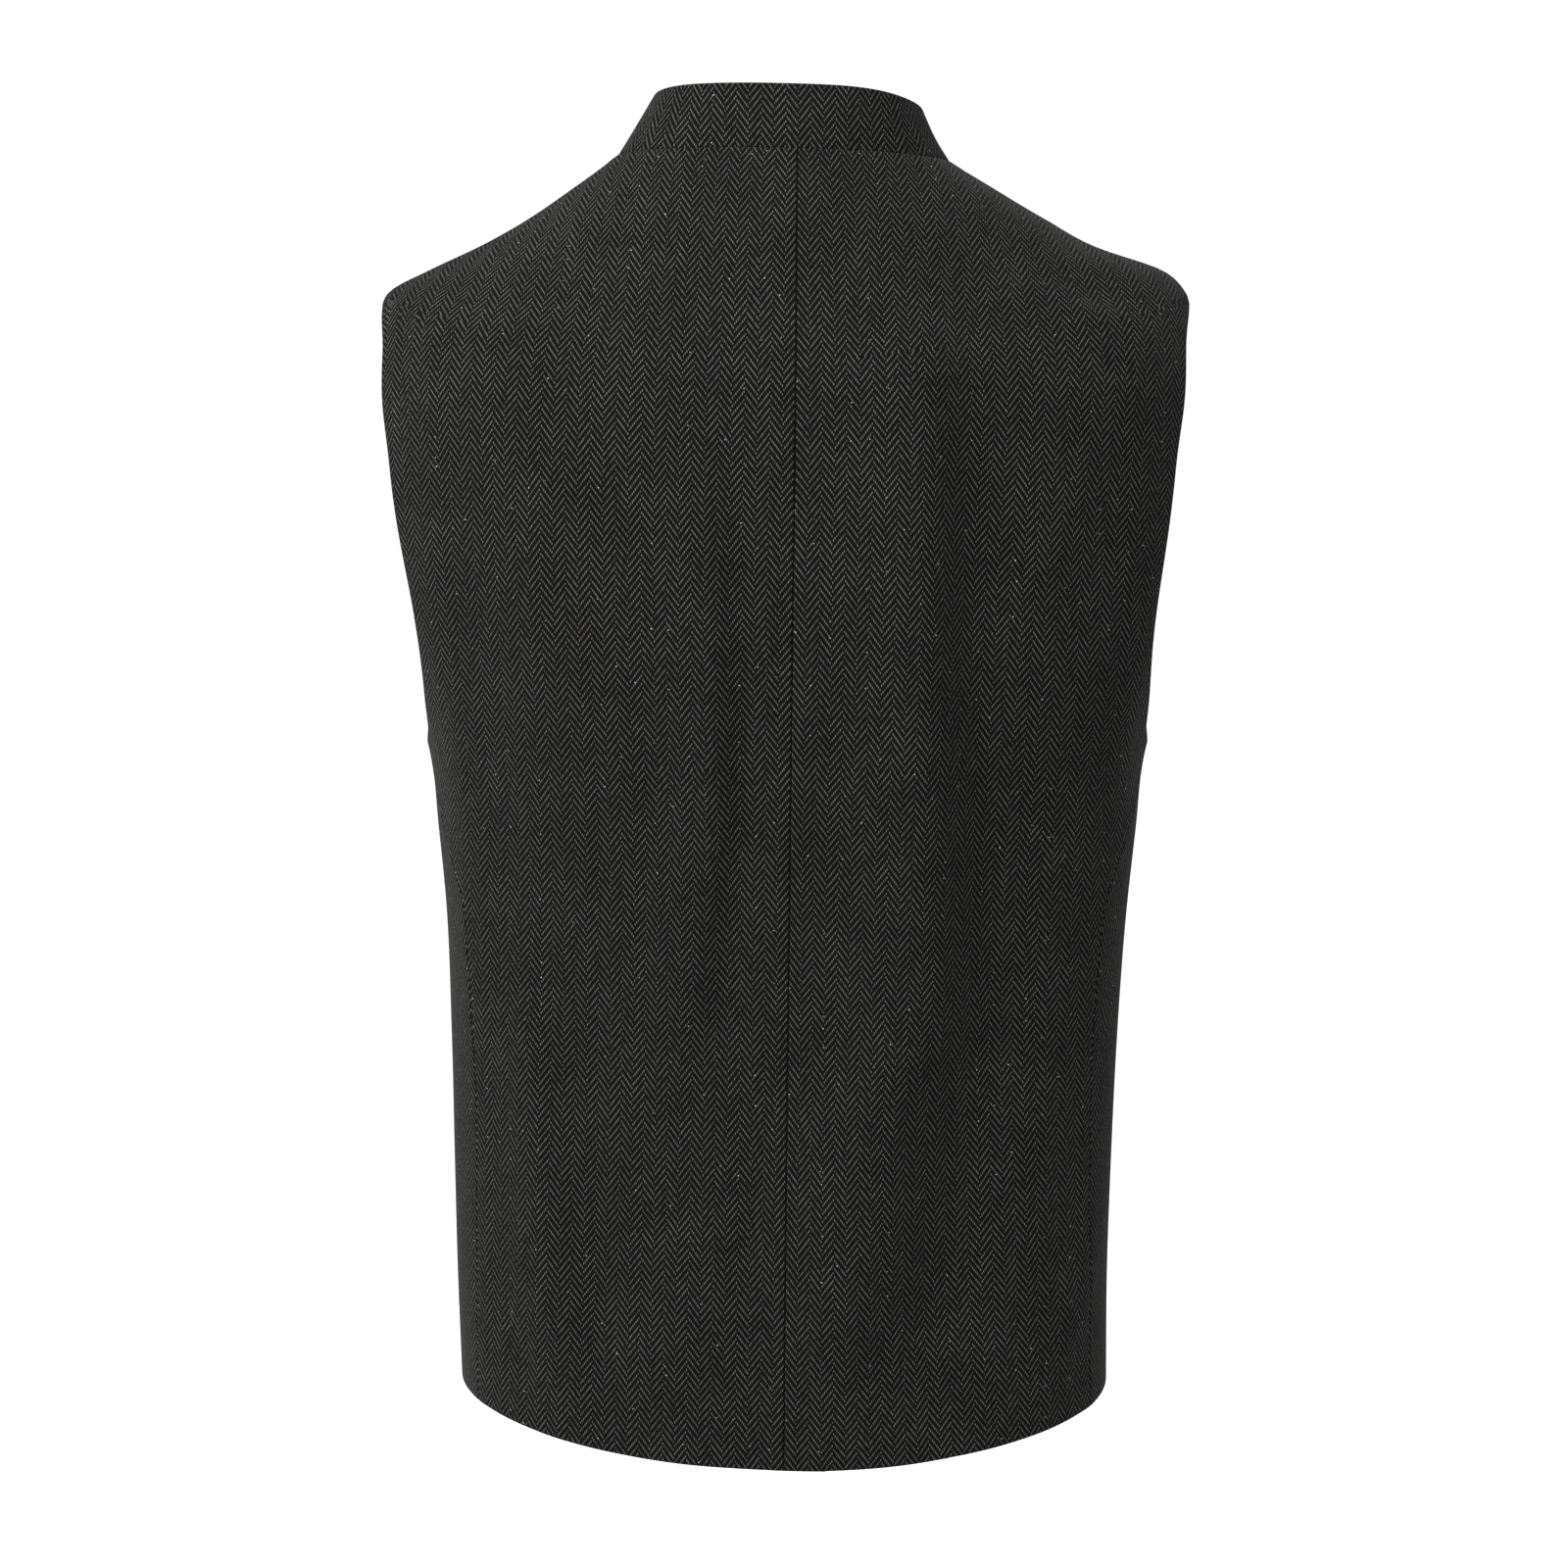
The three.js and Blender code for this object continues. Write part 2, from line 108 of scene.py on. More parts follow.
# The flat patterns. A coarse grid has the given columns and rows.
FLAT_COLUMNS = 14
FLAT_ROWS = 36
COARSE_STEPS = 1200
FINE_STEPS = 500
FLAT_PULL = 0.3  # share of each step that is taken
GUESS_ANGLE_BACK = 40  # degrees from the centre back to the line up which heights are walked
GUESS_ANGLE_FRONT = 140
LINKS = [
    (np.s_[:, :-1], np.s_[:, 1:]),
    (np.s_[:-1, :], np.s_[1:, :]),
    (np.s_[:-1, :-1], np.s_[1:, 1:]),
    (np.s_[:-1, 1:], np.s_[1:, :-1]),
]

# Buttons, thread and buttonholes. The profile is radius and height, from the cloth to the top.
BUTTON_SIDES = 56
BUTTON_DISH = 2.35
BUTTON_HOLES = 4
BUTTON_HOLE_SIDES = 20
BUTTON_FEELERS = [-1, -0.5, 0.5, 1]  # where the cloth beside a button is felt, in diameters
BUTTON_PROFILE = [
    (0.01, 0), (7.2, 0), (8.3, 0.35), (8.85, 1.1), (9, 1.9), (8.8, 2.65), (8.2, 3.1), (7.5, 3.2),
    (6.9, 3.05), (6.3, 2.6), (5.6, BUTTON_DISH), (4.4, 2.28), (0.01, 2.3),
]
THREAD_THICK = 0.42
THREAD_STRANDS = 3
THREAD_CLOSE = 0.85  # from one strand to the next, in thread thicknesses
THREAD_FOOT = 0.4  # how far above the cloth a strand ends
THREAD_STEPS = 8
THREAD_SIDES = 8
BUTTONHOLE_START = -2  # its end nearest the front's edge, from the centre front
BUTTONHOLE_END = 19
STITCH_LONG = 1.7
STITCH_THICK = 0.42
STITCH_PITCH = 0.46
STITCH_SIDES = 6
STITCH_UNEVEN = 0.06  # how far stitches differ in length
STITCH_LINE = np.array([[-0.9, -0.6, 0, 0.6, 0.9]])  # places along a stitch, from end to end
STITCH_RISE = 0.5  # how high a stitch's middle stands, in thread thicknesses
STITCH_BEND = 0.55  # how far its line would sink at its ends, likewise

# The tweed's weave
END = 0.8  # from one warp yarn to the next
PICK = 1.07  # from one weft yarn to the next
ENDS_A_STRIPE = 8
REPEAT = 4  # picks in one repeat of the twill
FLOAT = 2  # picks that a warp float passes over
WEAVE_RELIEF = 0.28
WEAVE_BUMP = 0.7
WEAVE_DRIFT = 0.0016  # metres that the yarns wander
WEAVE_DRIFT_SCALE = 18.0
WARP_ROUND = 0.7  # powers that shape a float's rounding across and along its yarn
WARP_TAPER = 0.6
WEFT_TAPER = 0.5
WEFT_HEIGHT = 0.75
WARP_SHOWS = (0.45, 1.0)  # heights between which a warp float takes on its full lightness
FLOAT_LIGHTNESS = (0.6, 1.35)
SLUB_ACROSS = 0.7  # how fast the yarns' thick and thin stretches change, an end and a pick
SLUB_ALONG = 0.06
SLUB_LIGHTNESS = (0.8, 1.2)
CLOUD_SCALE = 26.0
CLOUD_LIGHTNESS = (0.9, 1.1)
NOISE_RANGE = (0.3, 0.7)  # between these, a noise texture has nearly all its values
FIBRE_SCALE = 1900.0
NAP = 0.5  # the nap's height, beside a yarn's of 1
HEATHER = 0.2  # how far the tints of single floats differ
FLECK_CELL = 9
FLECK_SHARE = 0.14
FLECK_SIZE = 0.042
FLECK_CORE = 0.4  # share of a fleck that is at full strength

# Colours, in linear light
WARP_COLOUR = (0.06, 0.06, 0.0545, 1)
WEFT_DARK = (0.0005, 0.0005, 0.0005, 1)
WEFT_LIGHT = (0.0036, 0.0036, 0.0034, 1)
FLECK_COLOUR = (0.35, 0.35, 0.34, 1)
HORN_DARK = (0.0028, 0.0022, 0.0018, 1)
HORN_LIGHT = (0.03, 0.017, 0.0085, 1)
THREAD_DARK = (0.01, 0.01, 0.01, 1)
THREAD_LIGHT = (0.04, 0.04, 0.04, 1)
FLOOR_DARK = (0.95, 0.95, 0.95, 1)
FLOOR_LIGHT = (0.98, 0.98, 0.98, 1)

# The shader's plain values
TWEED_FINISH = {
    "Roughness": 0.92,
    "Specular IOR Level": 0.02,
    "Sheen Weight": 0.02,
    "Sheen Roughness": 0.45,
}
HORN_FINISH = {
    "Roughness": 0.42,
    "Specular IOR Level": 0.3,
    "Coat Weight": 0.08,
    "Coat Roughness": 0.2,
}
THREAD_FINISH = {"Roughness": 0.75, "Specular IOR Level": 0.3}
FLOOR_FINISH = {"Roughness": 0.9}

# Texture of the plainer materials
HORN_STREAKS = {"Scale": 190.0, "Detail": 5.0, "Distortion": 1.6}
HORN_STREAK_RANGE = (0.4, 0.68)
HORN_RELIEF = 0.06
HORN_BUMP = 0.35
THREAD_TWIST = {"Scale": 2600.0, "Detail": 2.0}
THREAD_RELIEF = 0.1
FLOOR_GRAIN = {"Scale": 3.0, "Detail": 2.0}
FLOOR_RELIEF = 0.2

# The camera and the stage
CAMERA_DISTANCE = 2200
CAMERA_Z = 35.5
CAMERA_X = 0.5
CAMERA_PITCH = 9.5  # degrees downwards
CAMERA_LENS = 95
CAMERA_SENSOR = 36
CAMERA_REACH = 100000  # far enough to see the floor
EXPOSURE = 1.3
FLOOR_Z = -1500
FLOOR_SIZE = 60000
SURROUND_LIGHT = 0.45  # strength of the even light
KEY_PLACE = (1200, 1550, 1500)
KEY_TARGET = (0, 0, -120)
KEY_SIZE = 900
KEY_POWER = 69  # watts


def table_of(names, rows):
    """A table's columns by name."""
    columns = zip(names.split(), zip(*rows))
    return {name: list(column) for name, column in columns}


# The armhole's edge on the back and on the front, in degrees from the centre back. turn runs from
# 0 at the underarm to 180 at the shoulder tip.
ARMHOLE = table_of("turn back front", [
    (0, 83, 83),
    (30, 78, 99),
    (60, 74, 111),
    (90, 74, 117),
    (120, 76.5, 116),
    (150, 82, 110),
    (180, 97, 97),
])

# Rings of the body, as the solids have them
BODY_RINGS = table_of("z left right back side front back_drop front_drop tilt pitch power", [
    (-660, 177.6, 176.8, 110, 0, -108, -21, -9, 0.011, 0, 2.5),
    (-596, 179.3, 176.6, 105, 0, -108, -10, -6, 0.006, 0, 2.5),
    (-536, 180, 178, 101, 0, -107, 0, 0, 0, 0, 2.5),
    (-466, 180.6, 180.6, 98, 0, -106, 0, 0, 0, 0, 2.5),
    (-396, 182.6, 184.6, 103, 0, -110, 0, 0, 0, 0, 2.5),
    (-352, 186.4, 188.7, 106.8, 0, -113.6, 0, -2, 0, 0, 2.5),
    (-316, 189.6, 192, 111, 0, -117, 0, -5, 0, 0, 2.5),
    (-276, 199, 201.6, 115, 0, -118, -1, -14, 0, 0, 2.5),
    (-236, 208, 208.5, 117, 0, -117, -3, -26, 0, 0, 2.5),
    (-156, 223, 220, 113, 0, -111, -14, -52, 0, 0, 2.42),
    (-96, 219.5, 219, 107, -1, -104, -27, -70, 0, 0, 2.28),
    (-78, 213.8, 214.5, 104, -2, -100, -30, -73, 0, 0, 2.12),
    (-68, 208.2, 211, 100, -3, -97, -28, -74, 0, 0, 2),
    (-58, 189, 200, 95, -4, -94, -24, -73, 0, 0, 1.9),
    (-45, 161, 163, 88, -5, -89, -16, -72, 0, 0.02, 1.85),
    (-30, 133, 137, 79, -5, -83, -9, -70, 0.005, 0.05, 1.9),
    (-14, 108, 110, 68, -4, -76, -4, -68, 0.012, 0.09, 2),
    (0, 88, 87, 57, -3, -69, 0, -67, 0.02, 0.12, 2.1),
])

# The collar above the neck seam, as the solid has it
COLLAR_RINGS = table_of(
    "up rise_back rise_left rise_right rise_front in_back in_left in_right in_front",
    [
        (0, 0, 0, 0, 0, 0, 0, 0, 0),
        (COLLAR_HEIGHT / 2, 16, 15, 13, 18, 4, 9.5, 8, 2),
        (COLLAR_HEIGHT, 33, 32, 28, 36, 9, 20, 15, 5),
    ],
)

# Folds of the worn cloth: how far each stands out (a trough is negative), its widths on the sides
# of the wearer's left and right, and its path of x and z from top to bottom. These are the
# solids' own.
BACK_FOLDS = [
    (3.2, 24, 13, [(42, -110), (41, -230), (38, -320), (46, -380), (57, -470)]),
    (-2.2, 14, 12, [(78, -240), (64, -320), (76, -400), (84, -440)]),
    (-2.2, 10, 12, [(26, -170), (20, -260), (22, -340), (38, -440)]),
    (5.5, 34, 20, [(-66, -50), (-68, -200), (-70, -330), (-70, -440), (-42, -520), (-26, -640)]),
    (-4.5, 18, 30, [(-92, -120), (-96, -250), (-106, -350), (-108, -450), (-84, -560), (-80, -640)]),
    (-2.6, 9, 9, [(92, -560), (62, -551), (32, -536)]),
    (2.6, 24, 24, [(52, -566), (44, -606), (52, -660)]),
    (4, 16, 12, [(138, -410), (134, -480), (126, -570), (119, -650)]),
    (-2.6, 14, 18, [(112, -450), (104, -540), (96, -640)]),
    (-3, 14, 18, [(164, -180), (158, -260), (155, -380)]),
    (-3.4, 18, 14, [(-160, -140), (-163, -200), (-158, -270)]),
    (3, 12, 10, [(-164, -566), (-155, -602), (-143, -650)]),
    (-3.5, 9, 9, [(-134, -58), (-160, -66), (-184, -72)]),
]
FRONT_FOLDS = [
    (4, 26, 18, [(96, -150), (88, -260), (92, -380), (104, -480)]),
    (4.2, 18, 26, [(-92, -160), (-84, -280), (-90, -400), (-98, -470)]),
    (-3, 20, 14, [(120, -250), (118, -380), (132, -500)]),
    (-3, 14, 20, [(-122, -240), (-116, -360), (-126, -470)]),
    (3.2, 24, 20, [(84, -500), (76, -580), (82, -650)]),
    (3, 20, 26, [(-74, -520), (-70, -590), (-80, -655)]),
]
FOLD_FADE = 60
FOLD_END = 0.25
FOLD_NECK_FADE = 26
FOLD_SIDE_FADE = 0.3

# Creases in this script alone: the first few shape the folds above further, the rest are fine
BACK_CREASES = [
    (2.8, 30, 40, [(138, -110), (134, -190), (131, -280)]),
    (3.4, 44, 22, [(-64, -60), (-67, -200), (-70, -330), (-68, -440), (-42, -520), (-26, -640)]),
    (-3, 20, 38, [(-106, -150), (-112, -300), (-116, -450), (-94, -560), (-88, -650)]),
    (1.4, 10, 8, [(39, -150), (37, -260), (35, -340), (41, -420), (50, -480)]),
    (3.2, 26, 64, [(-44, -490), (-28, -600), (-24, -720)]),
    (2.6, 12, 18, [(169, -250), (166, -330), (165, -440), (167, -500)]),
    (1.8, 7, 9, [(-136, -70), (-160, -77), (-186, -84)]),
    (-0.9, 5, 6, [(1, -150), (0, -240), (2, -330)]),
    (0.8, 5, 6, [(12, -160), (11, -250), (10, -330)]),
    (0.7, 6, 5, [(-11, -180), (-12, -270), (-10, -340)]),
    (-0.8, 5, 6, [(-21, -130), (-22, -190), (-20, -240)]),
    (-1, 7, 9, [(97, -300), (92, -370), (98, -440)]),
    (0.9, 9, 7, [(120, -140), (124, -230), (118, -300)]),
    (-0.9, 8, 7, [(-128, -290), (-132, -380), (-126, -450)]),
    (0.9, 8, 8, [(-140, -330), (-146, -430), (-140, -520)]),
    (-1, 6, 8, [(-57, -470), (-38, -540), (-20, -600)]),
    (-0.8, 7, 7, [(22, -470), (16, -540), (20, -610)]),
    (0.8, 8, 7, [(74, -590), (70, -630), (74, -665)]),
    (-0.9, 6, 6, [(150, -590), (140, -625), (134, -665)]),
]
FRONT_CREASES = [
    (-1, 6, 8, [(60, -210), (46, -300), (52, -380)]),
    (0.9, 8, 6, [(30, -250), (34, -340), (28, -430)]),
    (-0.9, 8, 6, [(-48, -200), (-40, -290), (-46, -360)]),
    (0.9, 6, 8, [(-62, -430), (-58, -520), (-64, -600)]),
    (-1, 7, 7, [(140, -330), (146, -420), (140, -520)]),
    (-1, 7, 7, [(-144, -320), (-148, -400), (-142, -500)]),
    (0.8, 6, 6, [(18, -480), (26, -560), (22, -640)]),
    (-0.8, 6, 6, [(52, -560), (48, -610), (54, -655)]),
]


def smooth(value):
    """A soft step from 0 to 1."""
    t = np.clip(value, 0, 1)
    return t * t * (3 - 2 * t)


def read_table(table, along, place, column):
    """A column's values at places along another column, on a smooth curve."""
    xs = np.array(table[along], float)
    ys = np.array(table[column], float)
    gaps = np.diff(xs)
    slopes = np.diff(ys) / gaps
    inner = (slopes[:-1] * gaps[1:] + slopes[1:] * gaps[:-1]) / (gaps[:-1] + gaps[1:])
    tangents = np.concatenate([slopes[:1], inner, slopes[-1:]])
    at = np.clip(place, xs[0], xs[-1])
    i = np.clip(np.searchsorted(xs, at) - 1, 0, len(gaps) - 1)
    t = (at - xs[i]) / gaps[i]
    t2 = t * t
    t3 = t2 * t
    return (
        (2 * t3 - 3 * t2 + 1) * ys[i]
        + (t3 - 2 * t2 + t) * gaps[i] * tangents[i]
        + (3 * t2 - 2 * t3) * ys[i + 1]
        + (t3 - t2) * gaps[i] * tangents[i + 1]
    )


def plain_cloth(angle, z):
    """Points of the body before folds, at angles from the centre back and ring heights."""
    angle, z = np.broadcast_arrays(np.asarray(angle, float), np.asarray(z, float))
    ring = {name: read_table(BODY_RINGS, "z", z, name) for name in BODY_RINGS if name != "z"}
    sine = np.sin(angle)
    cosine = np.cos(angle)
    half_width = np.where(sine > 0, ring["left"], ring["right"])
    depth = np.where(cosine > 0, ring["back"] - ring["side"], ring["side"] - ring["front"])
    power = ring["power"]
    total = np.abs(cosine / depth) ** power + np.abs(sine / half_width) ** power
    radius = total ** (-1 / power)
    x = radius * sine
    y = radius * cosine
    middle = np.maximum(1 - (x / half_width) ** 2, 0)
    front_drop = ring["front_drop"] * middle**FRONT_DROP_POWER
    drop = np.where(cosine > 0, ring["back_drop"] * middle, front_drop)
    height = z + drop + ring["tilt"] * x + ring["pitch"] * y
    return np.stack([x, ring["side"] + y, height], axis=-1)


def length_of(vectors):
    return np.sqrt((vectors**2).sum(axis=-1))


def unit(vectors):
    return vectors / np.maximum(length_of(vectors), 1e-9)[..., None]


def square_to(surface, angle, z):
    """Directions square to a surface, pointing out."""
    step_angle = 0.004
    step_z = 0.5
    round_body = surface(angle + step_angle, z) - surface(angle - step_angle, z)
    up = surface(angle, z + step_z) - surface(angle, z - step_z)
    return unit(np.cross(up, round_body))


def fold_height(fold, x, z):
    """How far one fold lifts the cloth at places seen square on."""
    height, toward_left, toward_right, path = fold
    nearest = np.full(x.shape, np.inf)
    side = np.zeros(x.shape)
    at = np.zeros(x.shape)
    walked = 0.0
    for (x0, z0), (x1, z1) in zip(path, path[1:]):
        length = math.hypot(x1 - x0, z1 - z0)
        along = ((x - x0) * (x1 - x0) + (z - z0) * (z1 - z0)) / length
        held = np.clip(along, 0, length)
        dx = x - x0 - (x1 - x0) * held / length
        dz = z - z0 - (z1 - z0) * held / length
        distance = np.hypot(dx, dz)
        closer = distance < nearest
        nearest = np.where(closer, distance, nearest)
        side = np.where(closer, (x - x0) * (z0 - z1) + (z - z0) * (x1 - x0), side)
        at = np.where(closer, walked + held, at)
        walked += length
    width = np.where(side > 0, toward_left, toward_right)
    ends = np.minimum(at, walked - at)
    fade = FOLD_END + (1 - FOLD_END) * smooth(ends / min(FOLD_FADE, walked / 2))
    return height * fade * np.exp(-((nearest / width) ** 2))


def under_lap(angle, x, side):
    """How deep the right front lies under the left one near the centre front."""
    if side > 0:
        return np.zeros(np.shape(x))
    depth = (WALL + SEAM_GAP) * smooth((x + LAP + LAP_MARGIN + LAP_EASE) / LAP_EASE)
    return np.where(np.cos(angle) > 0, 0, depth)


def cloth_lift(angle, z, point, side):
    """How far folds and creases lift the cloth off the plain body."""
    x = point[..., 0]
    height = point[..., 2]
    on_back = sum(fold_height(fold, x, height) for fold in BACK_FOLDS + BACK_CREASES)
    on_front = sum(fold_height(fold, x, height) for fold in FRONT_FOLDS + FRONT_CREASES)
    lift = np.where(np.cos(angle) > 0, on_back, on_front)
    neck_fade = smooth(-z / FOLD_NECK_FADE)
    side_fade = smooth(np.abs(np.cos(angle)) / FOLD_SIDE_FADE)
    return lift * side_fade * neck_fade - under_lap(angle, x, side)


def cloth(angle, z, side):
    """The worn cloth's outer surface on the wearer's left (side 1) or right (side -1)."""
    point = plain_cloth(angle, z)
    lift = cloth_lift(angle, z, point, side)
    return point + square_to(plain_cloth, angle, z) * lift[..., None]


def edge_angles(z):
    """The angles at which the back ends and the front begins at a ring height."""
    share = smooth((UNDERARM_Z - z) / SIDE_SEAM_SHIFT)
    seam = ARMHOLE["back"][0] + (SIDE_SEAM_ANGLE - ARMHOLE["back"][0]) * share
    up = np.clip((z - UNDERARM_Z) / (SHOULDER_TIP_Z - UNDERARM_Z), 0, 1)
    turn = np.degrees(np.arccos(1 - 2 * up))
    ends = []
    for column in ("back", "front"):
        end = read_table(ARMHOLE, "turn", turn, column)
        end = np.where(z <= UNDERARM_Z, seam, end)
        ends.append(np.where(z >= SHOULDER_TIP_Z, SHOULDER_SEAM_ANGLE, end))
    return np.radians(ends[0]), np.radians(ends[1])


def centre_seam_angle(z):
    """Where the centre-back seam lies at a ring height. It hangs a little askew."""
    depth = read_table(BODY_RINGS, "z", z, "back") - read_table(BODY_RINGS, "z", z, "side")
    x = CENTRE_SEAM_HEM_X + (CENTRE_SEAM_TOP_X - CENTRE_SEAM_HEM_X) * (1 - z / HEM_Z)
    return np.arcsin(x / depth)


def lap_angle(z):
    """How far past the centre front a front panel reaches at a ring height."""
    front = read_table(BODY_RINGS, "z", z, "front")
    side = read_table(BODY_RINGS, "z", z, "side")
    return np.arcsin(LAP / (side - front))


def corner_rise(z, distance):
    """The rise of a front's lower edge in its rounded corner."""
    into = np.clip(FRONT_CORNER_RADIUS - distance, 0, FRONT_CORNER_RADIUS)
    rise = FRONT_CORNER_RADIUS - np.sqrt(FRONT_CORNER_RADIUS**2 - into**2)
    return rise * (1 - smooth((z - HEM_Z) / CORNER_BLEND))


def from_edge(length, step):
    """Distances along a length, close together at its start, without its far end."""
    near = EDGE_STEPS[-1]
    count = round((length - near) / step)
    return np.concatenate([EDGE_STEPS[:-1], np.linspace(near, length, count, endpoint=False)])


def between_edges(length, count):
    """A number of distances along a length, close together at both ends."""
    near = np.array(EDGE_STEPS[:-1])
    inner = EDGE_STEPS[-1]
    middle = np.linspace(inner, length - inner, count - 2 * len(near))
    return np.concatenate([near, middle, length - near[::-1]])


def panel_heights():
    """Ring heights of a panel's rows."""
    top = 0
    arm = SHOULDER_TIP_Z - UNDERARM_Z
    arm_rows = round(arm / ROW_STEP)
    share = (1 - np.cos(np.pi * np.arange(arm_rows + 1) / arm_rows)) / 2
    below = HEM_Z + from_edge(UNDERARM_Z - HEM_Z, ROW_STEP)
    above = top - from_edge(top - SHOULDER_TIP_Z, ROW_STEP)[::-1]
    return np.concatenate([below, UNDERARM_Z + arm * share, above])


def running_length(points, axis):
    """Distances walked along a grid of points, from its first row or column."""
    steps = length_of(np.diff(points, axis=axis))
    start = np.zeros_like(np.take(steps, [0], axis=axis))
    return np.concatenate([start, np.cumsum(steps, axis=axis)], axis=axis)


def panel_grid(side, first_angle, last_angle, has_corner):
    """Angles and ring heights of a panel's points, with the columns running the way angles grow."""
    heights = panel_heights()
    edges = [side * first_angle(heights), side * last_angle(heights)]
    low = np.minimum(*edges)
    high = np.maximum(*edges)
    trial = low[:, None] + (high - low)[:, None] * np.linspace(0, 1, TRIAL_COLUMNS)
    walked = running_length(plain_cloth(trial, heights[:, None]), 1)
    count = round(walked[:, -1].max() / COLUMN_STEP)
    angles = np.empty((len(heights), count))
    for row, along in enumerate(walked):
        angles[row] = np.interp(between_edges(along[-1], count), along, trial[row])
    z = np.repeat(heights[:, None], count, axis=1)
    if has_corner:
        edge = plain_cloth(side * last_angle(heights), heights)[:, None]
        z = z + corner_rise(z, length_of(plain_cloth(angles, z) - edge))
    return angles, z


def evenly(walked, count):
    """The numbers of some rows or columns that lie about evenly apart."""
    wanted = np.linspace(walked[0], walked[-1], count)
    return np.unique(np.abs(walked[:, None] - wanted).argmin(axis=0))


def flat_guess(points, side, is_front, straight):
    """A first flat pattern: the way round the body, and the way up it to each point's level."""
    middle = side * math.radians(GUESS_ANGLE_FRONT if is_front else GUESS_ANGLE_BACK)
    line = plain_cloth(middle, panel_heights())
    walked = running_length(line[None, :, 1:], 1)[0]
    height = points[..., 2]
    up = height + np.interp(height, line[:, 2], walked - line[:, 2])
    level = np.sqrt(np.maximum(length_of(np.diff(points, axis=1)) ** 2 - np.diff(up, axis=1) ** 2, 0))
    across = np.concatenate([np.zeros((len(up), 1)), np.cumsum(level, axis=1)], axis=1)
    return np.stack([across - across[:, [straight]], up], axis=-1)


def relax(flat, points, held, steps):
    """Pulls a flat grid until its lengths are those of the grid on the body."""
    rests = [length_of(points[b] - points[a]) for a, b in LINKS]
    for _ in range(steps):
        move = np.zeros_like(flat)
        for (a, b), rest in zip(LINKS, rests):
            span = flat[b] - flat[a]
            push = span * (0.5 * (1 - rest / length_of(span)))[..., None]
            move[a] += push
            move[b] -= push
        flat += FLAT_PULL * move
        flat[:, held, 0] = 0


def flat_pattern(points, guess, straight):
    """The panel laid flat, in millimetres, with one column kept straight along the grain.

    A coarse grid is relaxed first, and the fine grid takes over how far the coarse one has moved.
    """
    row_places = guess[..., 1].mean(axis=1)
    column_places = guess[..., 0].mean(axis=0)
    rows = evenly(row_places, FLAT_ROWS)
    columns = evenly(column_places, FLAT_COLUMNS)
    coarse = points[np.ix_(rows, columns)]
    first = guess[np.ix_(rows, columns)]
    held = 0 if straight == 0 else -1
    flat = first.copy()
    relax(flat, coarse, held, COARSE_STEPS)
    moved = flat - first
    fine = guess.copy()
    for axis in range(2):
        along_rows = [
            np.interp(guess[row, :, 0], guess[row, columns, 0], moved[k, :, axis])
            for k, row in enumerate(rows)
        ]
        for column, known in enumerate(np.array(along_rows).T):
            fine[:, column, axis] += np.interp(row_places, row_places[rows], known)
    relax(fine, points, held, FINE_STEPS)
    return fine


def shell(name, outer, inner, flat, material):
    """A closed shell between two grids of points, with its flat pattern as the UV map."""
    rows, columns = outer.shape[:2]
    number = np.arange(rows * columns).reshape(rows, columns)
    under = number + rows * columns
    grids = [
        (number[:-1, :-1], number[1:, :-1], number[1:, 1:], number[:-1, 1:]),
        (under[:-1, :-1], under[:-1, 1:], under[1:, 1:], under[1:, :-1]),
        (number[0, :-1], number[0, 1:], under[0, 1:], under[0, :-1]),
        (number[-1, 1:], number[-1, :-1], under[-1, :-1], under[-1, 1:]),
        (number[1:, 0], number[:-1, 0], under[:-1, 0], under[1:, 0]),
        (number[:-1, -1], number[1:, -1], under[1:, -1], under[:-1, -1]),
    ]
    faces = np.concatenate([np.stack(grid, axis=-1).reshape(-1, 4) for grid in grids])
    points = np.concatenate([outer.reshape(-1, 3), inner.reshape(-1, 3)]) * MM
    mesh = bpy.data.meshes.new(name)
    mesh.from_pydata(points.tolist(), [], faces.tolist())
    places = np.concatenate([flat.reshape(-1, 2)] * 2) * MM
    corners = np.empty(len(mesh.loops), int)
    mesh.loops.foreach_get("vertex_index", corners)
    uv_map = mesh.uv_layers.new(name="flat")
    uv_map.data.foreach_set("uv", places[corners].ravel())
    mesh.polygons.foreach_set("use_smooth", np.ones(len(mesh.polygons), bool))
    mesh.materials.append(material)
    piece = bpy.data.objects.new(name, mesh)
    bpy.context.collection.objects.link(piece)
    return piece


def roll(distance, width, depth):
    """How far a rounded edge has sunk at a distance from it."""
    into = 1 - np.clip(distance / width, 0, 1)
    return depth * (1 - np.sqrt(1 - into**2))


def groove(distance, depth):
    """How far a sewn edge has sunk into its seam at a distance from it."""
    return depth * np.exp(-((distance / SEAM_WIDTH) ** 2))


def waver(points, lengths):
    """A soft unevenness between about -1 and 1, with waves of the given lengths in space."""
    draw = np.random.default_rng(WAVER_SEED)
    total = 0
    for length in lengths:
        heading = unit(draw.normal(size=3) * WAVER_STRETCH)
        total = total + np.sin(2 * math.pi * (points @ heading) / length + draw.uniform(0, 7))
    return total / len(lengths)


